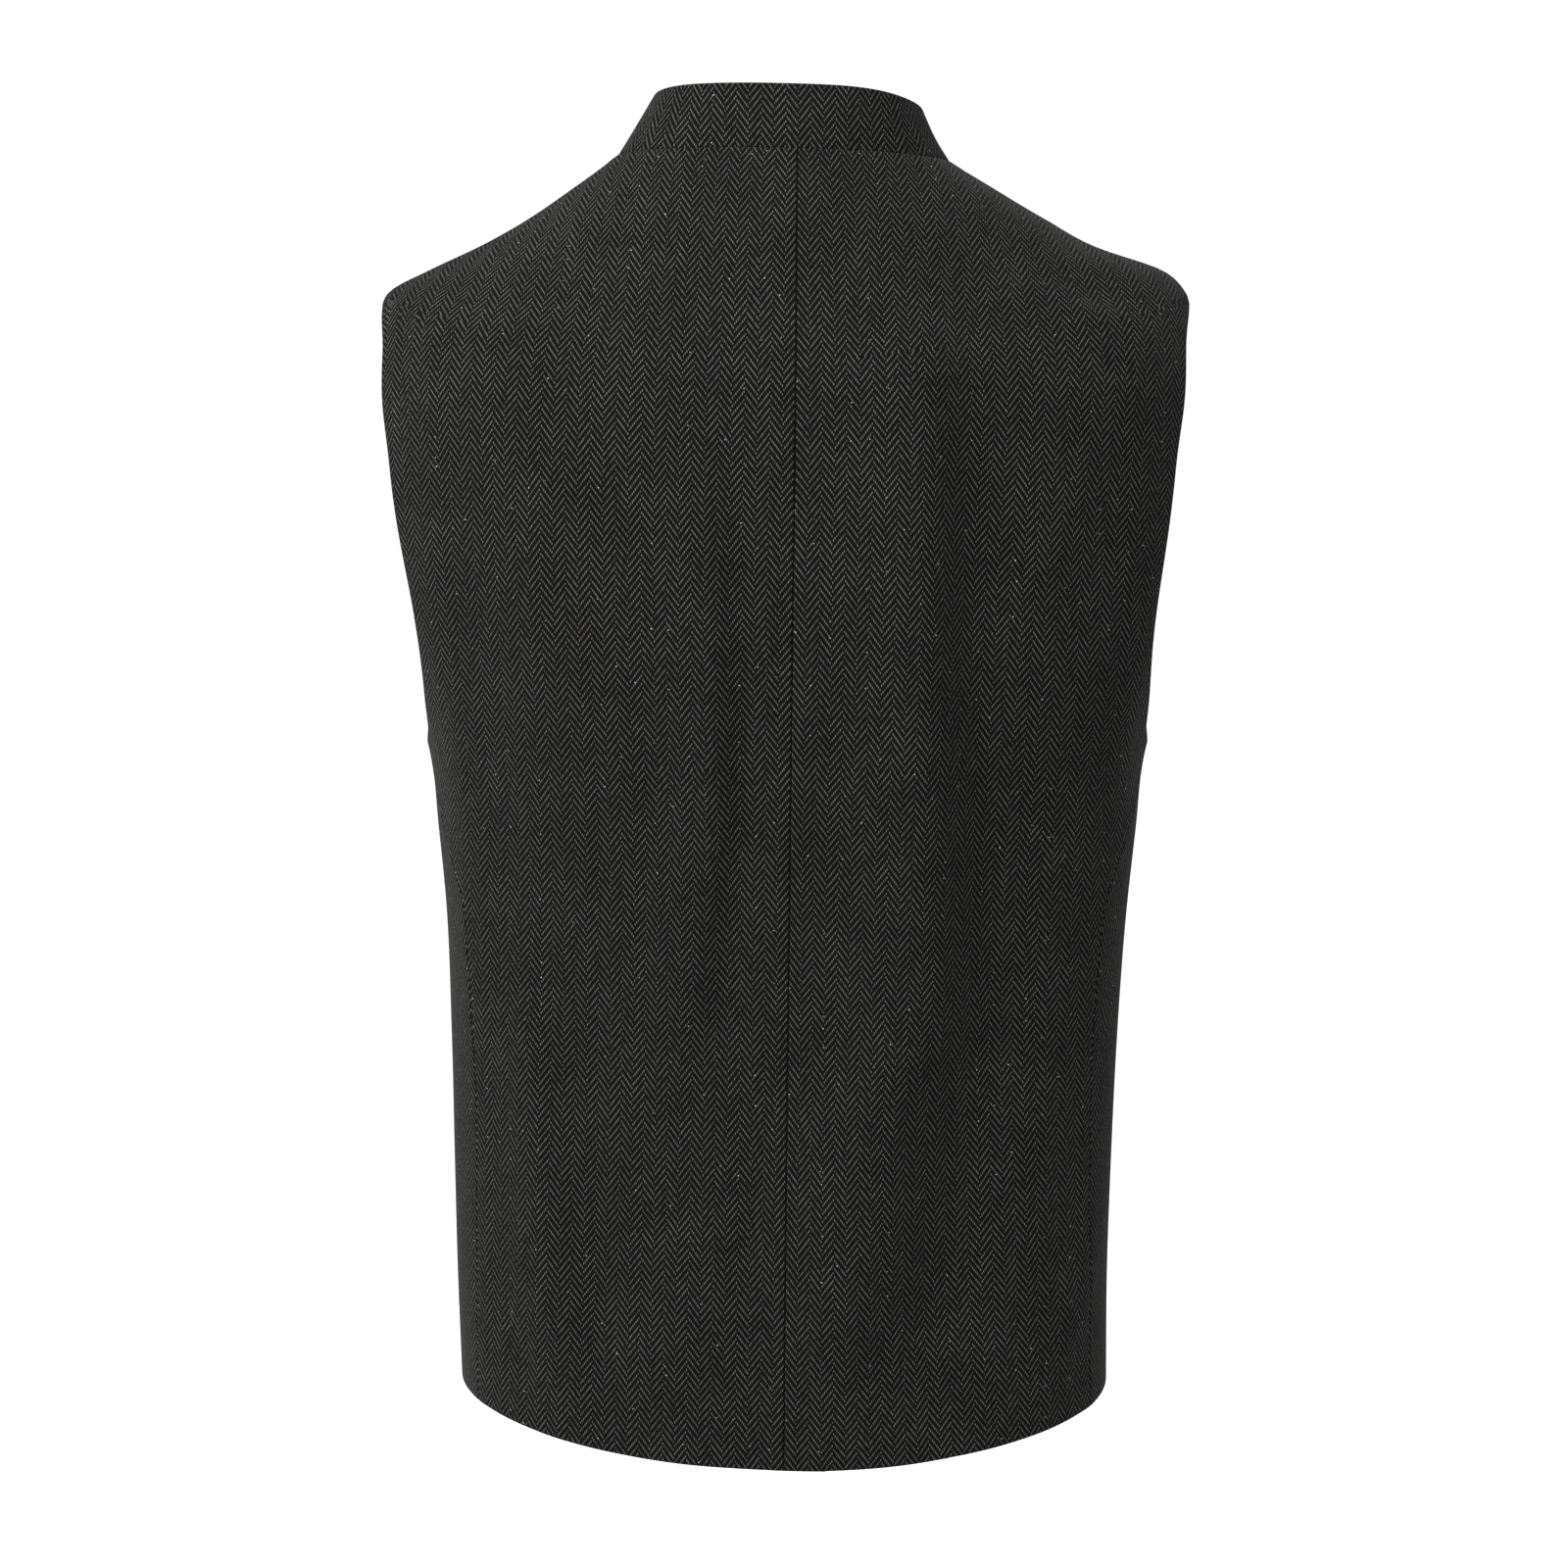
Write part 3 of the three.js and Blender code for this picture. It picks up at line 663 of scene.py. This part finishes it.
def panel(name, side, first_angle, last_angle, is_front):
    """One panel of the body as a thin shell with rolled seams and turned edges."""
    angle, z = panel_grid(side, first_angle, last_angle, is_front)
    point = plain_cloth(angle, z)
    normal = square_to(plain_cloth, angle, z)
    lift = cloth_lift(angle, z, point, side)
    middle = point + normal * lift[..., None]
    straight = 0 if (side > 0) != is_front else middle.shape[1] - 1
    flat = flat_pattern(middle, flat_guess(middle, side, is_front, straight), straight)

    across = running_length(middle, 1)
    up = running_length(middle, 0)
    from_low = across
    from_high = across[:, -1:] - across
    if side > 0:
        from_first, from_last = from_low, from_high
    else:
        from_first, from_last = from_high, from_low
    from_hem = up
    from_neck = up[-1:] - up
    beside = from_first if is_front else from_last
    centre = from_last if is_front else from_first
    by_armhole = (z > UNDERARM_Z) & (z < SHOULDER_TIP_Z)
    seams = [(from_neck, NECK_SEAM_DEPTH), (np.where(by_armhole, FAR, beside), SIDE_SEAM_DEPTH)]
    turned = [(from_hem, HEM_TURN), (np.where(by_armhole, beside, FAR), ARMHOLE_TURN)]
    if is_front:
        turned.append((centre, FRONT_TURN))
    else:
        seams.append((centre, CENTRE_SEAM_DEPTH))
    seam = np.minimum.reduce([distance for distance, _ in seams])
    free = np.minimum.reduce([distance for distance, _ in turned])

    ridge = SEAM_RIDGE * smooth((SEAM_RIDGE_WIDTH - seam) / SEAM_RIDGE_FADE)
    pucker = PUCKER * waver(middle, PUCKER_LENGTHS) * np.exp(-seam / PUCKER_WIDTH)
    raised = ridge + pucker + UNEVEN * waver(middle, UNEVEN_LENGTHS)

    thickness = CLOTH
    for distance, width in turned:
        step = CLOTH + TURN * smooth((width - distance) / TURN_STEP)
        thickness = np.maximum(thickness, step)
    allowance = CLOTH + TURN * smooth((SEAM_ALLOWANCE - seam) / TURN_STEP)
    thickness = np.maximum(thickness, allowance)
    rounded = roll(free, EDGE_ROLL, EDGE_ROUND)
    sunk = rounded
    for distance, depth in seams:
        sunk = np.maximum(sunk, groove(distance, depth))
    outer = middle + normal * (raised - sunk)[..., None]
    inner = middle + normal * (raised - thickness + rounded)[..., None]
    piece = shell(name, outer, inner, flat, TWEED)
    finish_piece(piece, "tweed", name.replace("tweed_", ""))


def finish_piece(piece, slot, *nodes):
    """A piece rides on the body and stands for its solids. The slot is not used."""
    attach(piece, BODY)
    if nodes:
        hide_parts(*nodes)


def back_panel(side, name):
    def first(z):
        return side * centre_seam_angle(z)

    def last(z):
        return edge_angles(z)[0]

    panel(name, side, first, last, False)


def front_panel(side, name):
    def first(z):
        return edge_angles(z)[1]

    def last(z):
        return math.pi + lap_angle(z)

    panel(name, side, first, last, True)


def collar_point(angle, up):
    """Points of the collar's outer surface at a distance up the band from the neck seam."""
    angle, up = np.broadcast_arrays(np.asarray(angle, float), np.asarray(up, float))
    base = plain_cloth(angle, np.zeros(angle.shape))
    read = {name: read_table(COLLAR_RINGS, "up", up, name) for name in COLLAR_RINGS}
    sine = np.sin(angle)
    cosine = np.cos(angle)
    side_weight = sine**4
    end_rise = np.where(cosine > 0, read["rise_back"], read["rise_front"])
    side_rise = np.where(sine > 0, read["rise_left"], read["rise_right"])
    end_in = np.where(cosine > 0, read["in_back"], read["in_front"])
    side_in = np.where(sine > 0, read["in_left"], read["in_right"])
    lap = np.where(angle > 0, 0, under_lap(angle, base[..., 0], -1))
    x = base[..., 0] - sine * side_in * side_weight
    y = base[..., 1] - cosine * (end_in + lap)
    z = base[..., 2] + end_rise + (side_rise - end_rise) * side_weight
    return np.stack([x, y, z], axis=-1)


def collar(name):
    """The stand collar, a stiffened band of two layers."""
    front_depth = abs(plain_cloth(math.pi, 0.0)[1])
    reach = math.pi - math.asin(COLLAR_END_GAP / 2 / front_depth)
    trial = np.linspace(-reach, reach, COLLAR_TRIALS)
    along = running_length(collar_point(trial, COLLAR_HEIGHT / 2)[None], 1)[0]
    count = round(along[-1] / COLLAR_STEP)
    angle = np.interp(between_edges(along[-1], count), along, trial)
    from_end = (reach - np.abs(angle)) * front_depth
    into = np.maximum(COLLAR_CORNER_RADIUS - from_end, 0)
    cut = COLLAR_CORNER_RADIUS - np.sqrt(COLLAR_CORNER_RADIUS**2 - into**2)
    rows = round(COLLAR_HEIGHT / COLLAR_STEP) + 2 * len(EDGE_STEPS)
    share = between_edges(COLLAR_HEIGHT, rows) / COLLAR_HEIGHT
    up = share[:, None] * (COLLAR_HEIGHT - cut)
    angle = np.repeat(angle[None], rows, axis=0)
    middle = collar_point(angle, up)
    at_seam = square_to(plain_cloth, angle, np.zeros(up.shape))
    above_seam = smooth(up / COLLAR_LEAN)[..., None]
    normal = unit(at_seam + (square_to(collar_point, angle, up) - at_seam) * above_seam)
    across = running_length(middle, 1)
    ends = np.minimum(across, across[:, -1:] - across)
    above = running_length(middle, 0)
    top = above[-1:] - above
    free = np.minimum(ends, top)
    centre = np.abs(angle[0] - centre_seam_angle(0.0)).argmin()
    flat_x = np.repeat((across - across[:, [centre]])[rows // 2][None], rows, axis=0)
    flat = np.stack([flat_x, -above], axis=-1)
    uneven = UNEVEN * waver(middle, UNEVEN_LENGTHS)
    rounded = roll(free, EDGE_ROLL, COLLAR_THICK / 2)
    sunk = np.maximum(groove(above, NECK_SEAM_DEPTH), rounded)
    outer = middle + normal * (uneven - sunk)[..., None]
    inner = middle + normal * (uneven - COLLAR_THICK + COLLAR_INNER_ROUND * rounded)[..., None]
    piece = shell(name, outer, inner, flat, TWEED)
    finish_piece(piece, "tweed", "collar")


def link_mesh(name, mesh, material):
    """A smooth piece of one material, made of a mesh."""
    mesh.materials.append(material)
    mesh.polygons.foreach_set("use_smooth", np.ones(len(mesh.polygons), bool))
    piece = bpy.data.objects.new(name, mesh)
    bpy.context.collection.objects.link(piece)
    return piece


def left_front(x, z):
    """A point of the left front near the centre front, at a distance beside it and a ring height."""
    ring_front = read_table(BODY_RINGS, "z", z, "front")
    ring_side = read_table(BODY_RINGS, "z", z, "side")
    angle = math.pi - np.arcsin(x / (ring_side - ring_front))
    return cloth(angle, z, 1)


def centre_front_height(level):
    """The ring height at which the centre front lies at a level."""
    low, high = HEM_Z, 0
    for _ in range(HALVINGS):
        middle = (low + high) / 2
        if plain_cloth(math.pi, middle)[2] < level:
            low = middle
        else:
            high = middle
    return low


def button_place(number):
    """Where a button stands: its matrix in millimetres, from the face that lies on the cloth."""
    z = centre_front_height(BUTTON_TOP_Z - BUTTON_PITCH * (number - 1))
    middle = left_front(0.0, z)
    up = unit(left_front(0.0, z + 1) - left_front(0.0, z - 1))
    round_body = unit(left_front(1.0, z) - left_front(-1.0, z))
    normal = unit(np.cross(round_body, up))
    normal = normal if normal[1] < 0 else -normal
    proud = 0
    for reach in BUTTON_FEELERS:
        above = left_front(0.0, z + reach * BUTTON_DIAMETER) - middle
        proud = max(proud, float(above @ normal))
    middle = middle + normal * (proud + SEAM_GAP)
    across = np.cross(up, normal)
    turn = Matrix([[across[i], up[i], normal[i], middle[i]] for i in range(3)] + [[0, 0, 0, 1]])
    return turn, z


def button_mesh():
    """A turned button: rounded rim, shallow dish and four holes."""
    bm = bmesh.new()
    rings = []
    for radius, height in BUTTON_PROFILE:
        turns = [2 * math.pi * k / BUTTON_SIDES for k in range(BUTTON_SIDES)]
        rings.append([bm.verts.new((radius * math.cos(t), radius * math.sin(t), height)) for t in turns])
    for lower, upper in zip(rings, rings[1:]):
        for k in range(BUTTON_SIDES):
            after = (k + 1) % BUTTON_SIDES
            bm.faces.new((lower[k], lower[after], upper[after], upper[k]))
    bm.faces.new(rings[0][::-1])
    bm.faces.new(rings[-1])
    bmesh.ops.scale(bm, vec=(MM, MM, MM), verts=bm.verts)
    mesh = bpy.data.meshes.new("button")
    bm.to_mesh(mesh)
    bm.free()
    return drilled(mesh)


def drilled(mesh):
    """The button with its four holes cut through."""
    blank = bpy.data.objects.new("blank", mesh)
    bpy.context.collection.objects.link(blank)
    bm = bmesh.new()
    out = BUTTON_HOLE_OUT * MM
    radius = BUTTON_HOLE_RADIUS * MM
    thickness = BUTTON_THICKNESS * MM
    for hole in range(BUTTON_HOLES):
        angle = (hole + 0.5) * 2 * math.pi / BUTTON_HOLES
        middle = (out * math.cos(angle), out * math.sin(angle), thickness / 2)
        bmesh.ops.create_cone(
            bm, cap_ends=True, segments=BUTTON_HOLE_SIDES, radius1=radius, radius2=radius,
            depth=3 * thickness, matrix=Matrix.Translation(middle),
        )
    drill_mesh = bpy.data.meshes.new("drill")
    bm.to_mesh(drill_mesh)
    bm.free()
    drill = bpy.data.objects.new("drill", drill_mesh)
    bpy.context.collection.objects.link(drill)
    cut = blank.modifiers.new("holes", "BOOLEAN")
    cut.object = drill
    cut.solver = "EXACT"
    seen = blank.evaluated_get(bpy.context.evaluated_depsgraph_get())
    done = bpy.data.meshes.new_from_object(seen)
    bpy.data.objects.remove(blank)
    bpy.data.objects.remove(drill)
    return done


def tube(bm, path, radius, sides):
    """A closed round tube along points."""
    path = [Vector(point) for point in path]
    turns = [2 * math.pi * t / sides for t in range(sides)]
    beside = (path[1] - path[0]).orthogonal()
    rings = []
    for before, point, after in zip(path[:1] + path, path, path[1:] + path[-1:]):
        ahead = (after - before).normalized()
        beside = (beside - ahead * beside.dot(ahead)).normalized()
        other = ahead.cross(beside)
        spokes = [(beside * math.cos(turn) + other * math.sin(turn)) * radius for turn in turns]
        rings.append([bm.verts.new(point + spoke) for spoke in spokes])
    for one, two in zip(rings, rings[1:]):
        for t in range(sides):
            after = (t + 1) % sides
            bm.faces.new((one[t], one[after], two[after], two[t]))
    bm.faces.new(rings[0][::-1])
    bm.faces.new(rings[-1])


def button_thread_mesh():
    """Two bars of sewing thread over a button, down through its holes."""
    bm = bmesh.new()
    out = BUTTON_HOLE_OUT / math.sqrt(2)
    for bar in (-1, 1):
        for strand in range(THREAD_STRANDS):
            x = bar * out + (strand - (THREAD_STRANDS - 1) / 2) * THREAD_THICK * THREAD_CLOSE
            path = [(x, -out, THREAD_FOOT)]
            for k in range(THREAD_STEPS + 1):
                share = 2 * k / THREAD_STEPS - 1
                path.append((x, share * out, BUTTON_DISH + THREAD_THICK * (1 - share * share / 2)))
            path.append((x, out, THREAD_FOOT))
            tube(bm, [Vector(point) * MM for point in path], THREAD_THICK / 2 * MM, THREAD_SIDES)
    mesh = bpy.data.meshes.new("button_thread")
    bm.to_mesh(mesh)
    bm.free()
    return mesh


def buttons():
    """Six horn buttons down the left front, sewn on with dark thread."""
    horn_mesh = button_mesh()
    thread_mesh = button_thread_mesh()
    for number in range(1, BUTTON_COUNT + 1):
        turn, _ = button_place(number)
        place = Matrix.Translation(turn.translation * MM) @ turn.to_3x3().to_4x4()
        piece = link_mesh(f"horn_button_{number}", horn_mesh.copy(), HORN)
        piece.matrix_world = place
        thread = link_mesh(f"button_thread_{number}", thread_mesh.copy(), THREAD)
        thread.matrix_world = place
        finish_piece(piece, "horn", f"button_{number}")
        finish_piece(thread, "tweed")


def hole_outline(count):
    """Places and headings of stitches round a buttonhole, from its middle line's start."""
    straight = BUTTONHOLE_END - BUTTONHOLE_START
    half = STITCH_LONG / 2
    around = 2 * straight + 2 * math.pi * half
    for k in range(count):
        walked = around * k / count
        row = walked // (around / 2)
        walked -= row * around / 2
        turn = row * math.pi
        if walked < straight:
            along, heading = walked, turn + math.pi / 2
        else:
            along, heading = straight, turn + math.pi / 2 - (walked - straight) / half
        x = BUTTONHOLE_START + along if row == 0 else BUTTONHOLE_END - along
        yield x + half * math.cos(heading), half * math.sin(heading), heading


def buttonhole(number):
    """A worked buttonhole: a slit between two rows of close stitches, rounded at both ends."""
    turn, centre = button_place(number)
    normal = np.array(turn.col[2][:3])
    straight = BUTTONHOLE_END - BUTTONHOLE_START
    count = round((2 * straight + math.pi * STITCH_LONG) / STITCH_PITCH)
    x, z, heading = (np.array(column)[:, None] for column in zip(*hole_outline(count)))
    draw = np.random.default_rng(number)
    length = STITCH_LONG / 2 * draw.uniform(1 - STITCH_UNEVEN, 1 + STITCH_UNEVEN, size=(count, 1))
    along = STITCH_LINE * length
    lift = STITCH_THICK * (STITCH_RISE - STITCH_BEND * STITCH_LINE**2)
    places = left_front(x + along * np.cos(heading), centre + z + along * np.sin(heading))
    points = (places + normal * lift[..., None]) * MM
    bm = bmesh.new()
    for path in points:
        tube(bm, path, STITCH_THICK / 2 * MM, STITCH_SIDES)
    mesh = bpy.data.meshes.new(f"buttonhole_{number}")
    bm.to_mesh(mesh)
    bm.free()
    piece = link_mesh(f"buttonhole_{number}", mesh, THREAD)
    finish_piece(piece, "tweed")


class Graph:
    """The nodes of one new material, added a step at a time."""

    def __init__(self, name):
        self.material = bpy.data.materials.new(name)
        self.material.use_nodes = True
        self.tree = self.material.node_tree
        self.shader = self.tree.nodes["Principled BSDF"]

    def add(self, kind, inputs=(), **settings):
        """A node with its settings and inputs, each a socket or a plain value."""
        node = self.tree.nodes.new(kind)
        for name, value in settings.items():
            setattr(node, name, value)
        pairs = inputs.items() if isinstance(inputs, dict) else enumerate(inputs)
        for key, value in pairs:
            if isinstance(value, bpy.types.NodeSocket):
                self.tree.links.new(value, node.inputs[key])
            elif value is not None:
                node.inputs[key].default_value = value
        return node

    def math(self, operation, *inputs):
        return self.add("ShaderNodeMath", inputs, operation=operation).outputs[0]

    def blend(self, factor, low, high):
        """A colour between two colours."""
        node = self.add("ShaderNodeMix", data_type="RGBA")
        sockets = {s.identifier: s for s in node.inputs}
        for name, value in (("Factor_Float", factor), ("A_Color", low), ("B_Color", high)):
            if isinstance(value, bpy.types.NodeSocket):
                self.tree.links.new(value, sockets[name])
            else:
                sockets[name].default_value = value
        return next(s for s in node.outputs if s.identifier == "Result_Color")

    def ramp(self, value, low, high, out_low=0.0, out_high=1.0):
        """A value carried smoothly from one range to another."""
        inputs = (value, low, high, out_low, out_high)
        node = self.add("ShaderNodeMapRange", inputs, interpolation_type="SMOOTHSTEP")
        return node.outputs[0]

    def join(self, x, y, z=0.0):
        return self.add("ShaderNodeCombineXYZ", (x, y, z)).outputs[0]

    def finish(self, colour, height, lift, plain, strength=1.0):
        """Links the colour and a bump of a real height, and sets the shader's plain values."""
        bump = self.add("ShaderNodeBump", {"Strength": strength, "Distance": lift, "Height": height})
        self.tree.links.new(bump.outputs[0], self.shader.inputs["Normal"])
        self.tree.links.new(colour, self.shader.inputs["Base Color"])
        for name, value in plain.items():
            self.shader.inputs[name].default_value = value
        return self.material


def tweed_material():
    """A 2/2 herringbone twill: light warp yarns on a near-black weft, with flecks and a soft nap."""
    graph = Graph("charcoal_herringbone")
    place = graph.add("ShaderNodeUVMap", uv_map="flat").outputs[0]
    drift = graph.add("ShaderNodeTexNoise", {"Vector": place, "Scale": WEAVE_DRIFT_SCALE})
    moved = graph.add(
        "ShaderNodeVectorMath",
        (graph.math("SUBTRACT", drift.outputs["Fac"], 0.5), (WEAVE_DRIFT, WEAVE_DRIFT, 0)),
        operation="MULTIPLY",
    )
    shifted = graph.add("ShaderNodeVectorMath", (place, moved.outputs[0]), operation="ADD")
    split = graph.add("ShaderNodeSeparateXYZ", (shifted.outputs[0],))
    ends = graph.math("DIVIDE", split.outputs[0], END * MM)
    picks = graph.math("DIVIDE", split.outputs[1], PICK * MM)

    # Every half stripe turns the twill the other way and shifts it by half a repeat
    end_number = graph.math("FLOOR", ends)
    stripe = graph.math("FLOOR", graph.math("DIVIDE", end_number, ENDS_A_STRIPE))
    odd = graph.math("FLOORED_MODULO", stripe, 2)
    step = graph.math("PINGPONG", graph.math("ADD", end_number, 0.5), ENDS_A_STRIPE)
    run = graph.math("ADD", graph.math("ADD", picks, step), graph.math("MULTIPLY", odd, REPEAT / 2))
    phase = graph.math("FLOORED_MODULO", run, REPEAT)
    float_number = graph.math("FLOOR", graph.math("DIVIDE", run, REPEAT))

    # A warp float is a small oval, and a weft float lies between two of them
    across = graph.math("SINE", graph.math("MULTIPLY", graph.math("FRACT", ends), math.pi))
    half = graph.math("MULTIPLY", phase, math.pi / FLOAT)
    along = graph.math("MAXIMUM", graph.math("SINE", half), 0)
    rounding = graph.math("POWER", across, WARP_ROUND)
    warp = graph.math("MULTIPLY", rounding, graph.math("POWER", along, WARP_TAPER))
    weft_round = graph.math("SINE", graph.math("MULTIPLY", graph.math("FRACT", picks), math.pi))
    weft_float = graph.math("MAXIMUM", graph.math("MULTIPLY", graph.math("SINE", half), -1), 0)
    weft = graph.math("MULTIPLY", weft_round, graph.math("POWER", weft_float, WEFT_TAPER))
    height = graph.math("MAXIMUM", warp, graph.math("MULTIPLY", weft, WEFT_HEIGHT))

    # Each float has its own lightness and a slight heather tint
    cell = graph.join(end_number, float_number)
    chance = graph.add("ShaderNodeTexWhiteNoise", {"Vector": cell}, noise_dimensions="3D")
    slub_across = graph.math("MULTIPLY", end_number, SLUB_ACROSS)
    slub_place = graph.join(slub_across, graph.math("MULTIPLY", picks, SLUB_ALONG))
    slub = graph.add("ShaderNodeTexNoise", {"Vector": slub_place, "Scale": 1.0, "Detail": 2.0})
    lightness = graph.math(
        "MULTIPLY",
        graph.ramp(chance.outputs["Value"], 0.0, 1.0, *FLOAT_LIGHTNESS),
        graph.ramp(slub.outputs["Fac"], *NOISE_RANGE, *SLUB_LIGHTNESS),
    )
    shown = graph.math("MULTIPLY", graph.ramp(warp, *WARP_SHOWS), lightness)
    tint = graph.add(
        "ShaderNodeVectorMath",
        (chance.outputs["Color"], (HEATHER, HEATHER, HEATHER), (1 - HEATHER / 2,) * 3),
        operation="MULTIPLY_ADD",
    )
    light = graph.add(
        "ShaderNodeVectorMath", (tint.outputs[0], WARP_COLOUR[:3]), operation="MULTIPLY",
    ).outputs[0]
    cloud = graph.add("ShaderNodeTexNoise", {"Vector": place, "Scale": CLOUD_SCALE, "Detail": 3.0})
    fibre = graph.add("ShaderNodeTexNoise", {"Vector": place, "Scale": FIBRE_SCALE, "Detail": 2.0})
    ground = graph.blend(fibre.outputs["Fac"], WEFT_DARK, WEFT_LIGHT)
    woven = graph.blend(graph.math("MINIMUM", shown, 1.0), ground, light)
    clouded = graph.add(
        "ShaderNodeHueSaturation",
        {"Color": woven, "Value": graph.ramp(cloud.outputs["Fac"], *NOISE_RANGE, *CLOUD_LIGHTNESS)},
    )

    # White flecks, one in some of the cells
    specks = graph.add(
        "ShaderNodeTexVoronoi", {"Vector": place, "Scale": 1 / (FLECK_CELL * MM)},
        voronoi_dimensions="2D",
    )
    near = graph.ramp(specks.outputs["Distance"], FLECK_SIZE, FLECK_SIZE * FLECK_CORE)
    rare = graph.add("ShaderNodeSeparateColor", (specks.outputs["Color"],))
    picked = graph.math("GREATER_THAN", rare.outputs[0], 1 - FLECK_SHARE)
    fleck = graph.math("MULTIPLY", graph.math("MULTIPLY", near, picked), rare.outputs[1])
    colour = graph.blend(fleck, clouded.outputs[0], FLECK_COLOUR)
    nap = graph.math("ADD", height, graph.math("MULTIPLY", fibre.outputs["Fac"], NAP))
    return graph.finish(colour, nap, WEAVE_RELIEF * MM, TWEED_FINISH, WEAVE_BUMP)


def horn_material():
    """Dark mottled horn with a soft polish."""
    graph = Graph("dark_horn")
    place = graph.add("ShaderNodeTexCoord").outputs["Object"]
    streaks = graph.add("ShaderNodeTexNoise", {"Vector": place} | HORN_STREAKS).outputs["Fac"]
    brown = graph.blend(graph.ramp(streaks, *HORN_STREAK_RANGE), HORN_DARK, HORN_LIGHT)
    return graph.finish(brown, streaks, HORN_RELIEF * MM, HORN_FINISH, HORN_BUMP)


def thread_material():
    graph = Graph("dark_thread")
    place = graph.add("ShaderNodeTexCoord").outputs["Object"]
    twist = graph.add("ShaderNodeTexNoise", {"Vector": place} | THREAD_TWIST).outputs["Fac"]
    colour = graph.blend(twist, THREAD_DARK, THREAD_LIGHT)
    return graph.finish(colour, twist, THREAD_RELIEF * MM, THREAD_FINISH)


def floor_material():
    graph = Graph("pale_floor")
    place = graph.add("ShaderNodeTexCoord").outputs["Object"]
    grain = graph.add("ShaderNodeTexNoise", {"Vector": place} | FLOOR_GRAIN).outputs["Fac"]
    colour = graph.blend(grain, FLOOR_DARK, FLOOR_LIGHT)
    return graph.finish(colour, grain, FLOOR_RELIEF * MM, FLOOR_FINISH)


def stage():
    """A plain pale floor far below the waistcoat."""
    bpy.ops.mesh.primitive_plane_add(size=FLOOR_SIZE * MM, location=(0, 0, FLOOR_Z * MM))
    floor = bpy.context.object
    floor.name = "floor"
    floor.data.materials.append(floor_material())


def studio():
    """Even light all round, and one large soft light above the photo's left."""
    world = bpy.data.worlds.new("studio")
    bpy.context.scene.world = world
    world.use_nodes = True
    background = world.node_tree.nodes["Background"]
    background.inputs["Color"].default_value = (1, 1, 1, 1)
    background.inputs["Strength"].default_value = SURROUND_LIGHT
    data = bpy.data.lights.new("key", "AREA")
    data.shape = "SQUARE"
    data.size = KEY_SIZE * MM
    data.energy = KEY_POWER
    light = bpy.data.objects.new("key", data)
    light.location = Vector(KEY_PLACE) * MM
    aim = Vector(KEY_TARGET) - Vector(KEY_PLACE)
    light.rotation_euler = aim.to_track_quat("-Z", "Y").to_euler()
    bpy.context.collection.objects.link(light)


def camera():
    """The photo's view: from behind, level with the collar, looking a little down."""
    data = bpy.data.cameras.new("camera")
    data.lens = CAMERA_LENS
    data.sensor_width = CAMERA_SENSOR
    data.clip_end = CAMERA_REACH * MM
    view = bpy.data.objects.new("camera", data)
    view.location = (CAMERA_X * MM, CAMERA_DISTANCE * MM, CAMERA_Z * MM)
    view.rotation_euler = (math.radians(90 - CAMERA_PITCH), 0, math.pi)
    bpy.context.collection.objects.link(view)
    bpy.context.scene.camera = view
    bpy.context.scene.view_settings.view_transform = "Standard"
    bpy.context.scene.view_settings.exposure = EXPOSURE


TWEED = tweed_material()
HORN = horn_material()
THREAD = thread_material()

back_panel(1, "tweed_back_left")
back_panel(-1, "tweed_back_right")
front_panel(1, "tweed_front_left")
front_panel(-1, "tweed_front_right")
collar("tweed_collar")
buttons()
for number in range(1, BUTTON_COUNT + 1):
    buttonhole(number)

camera()
stage()
studio()
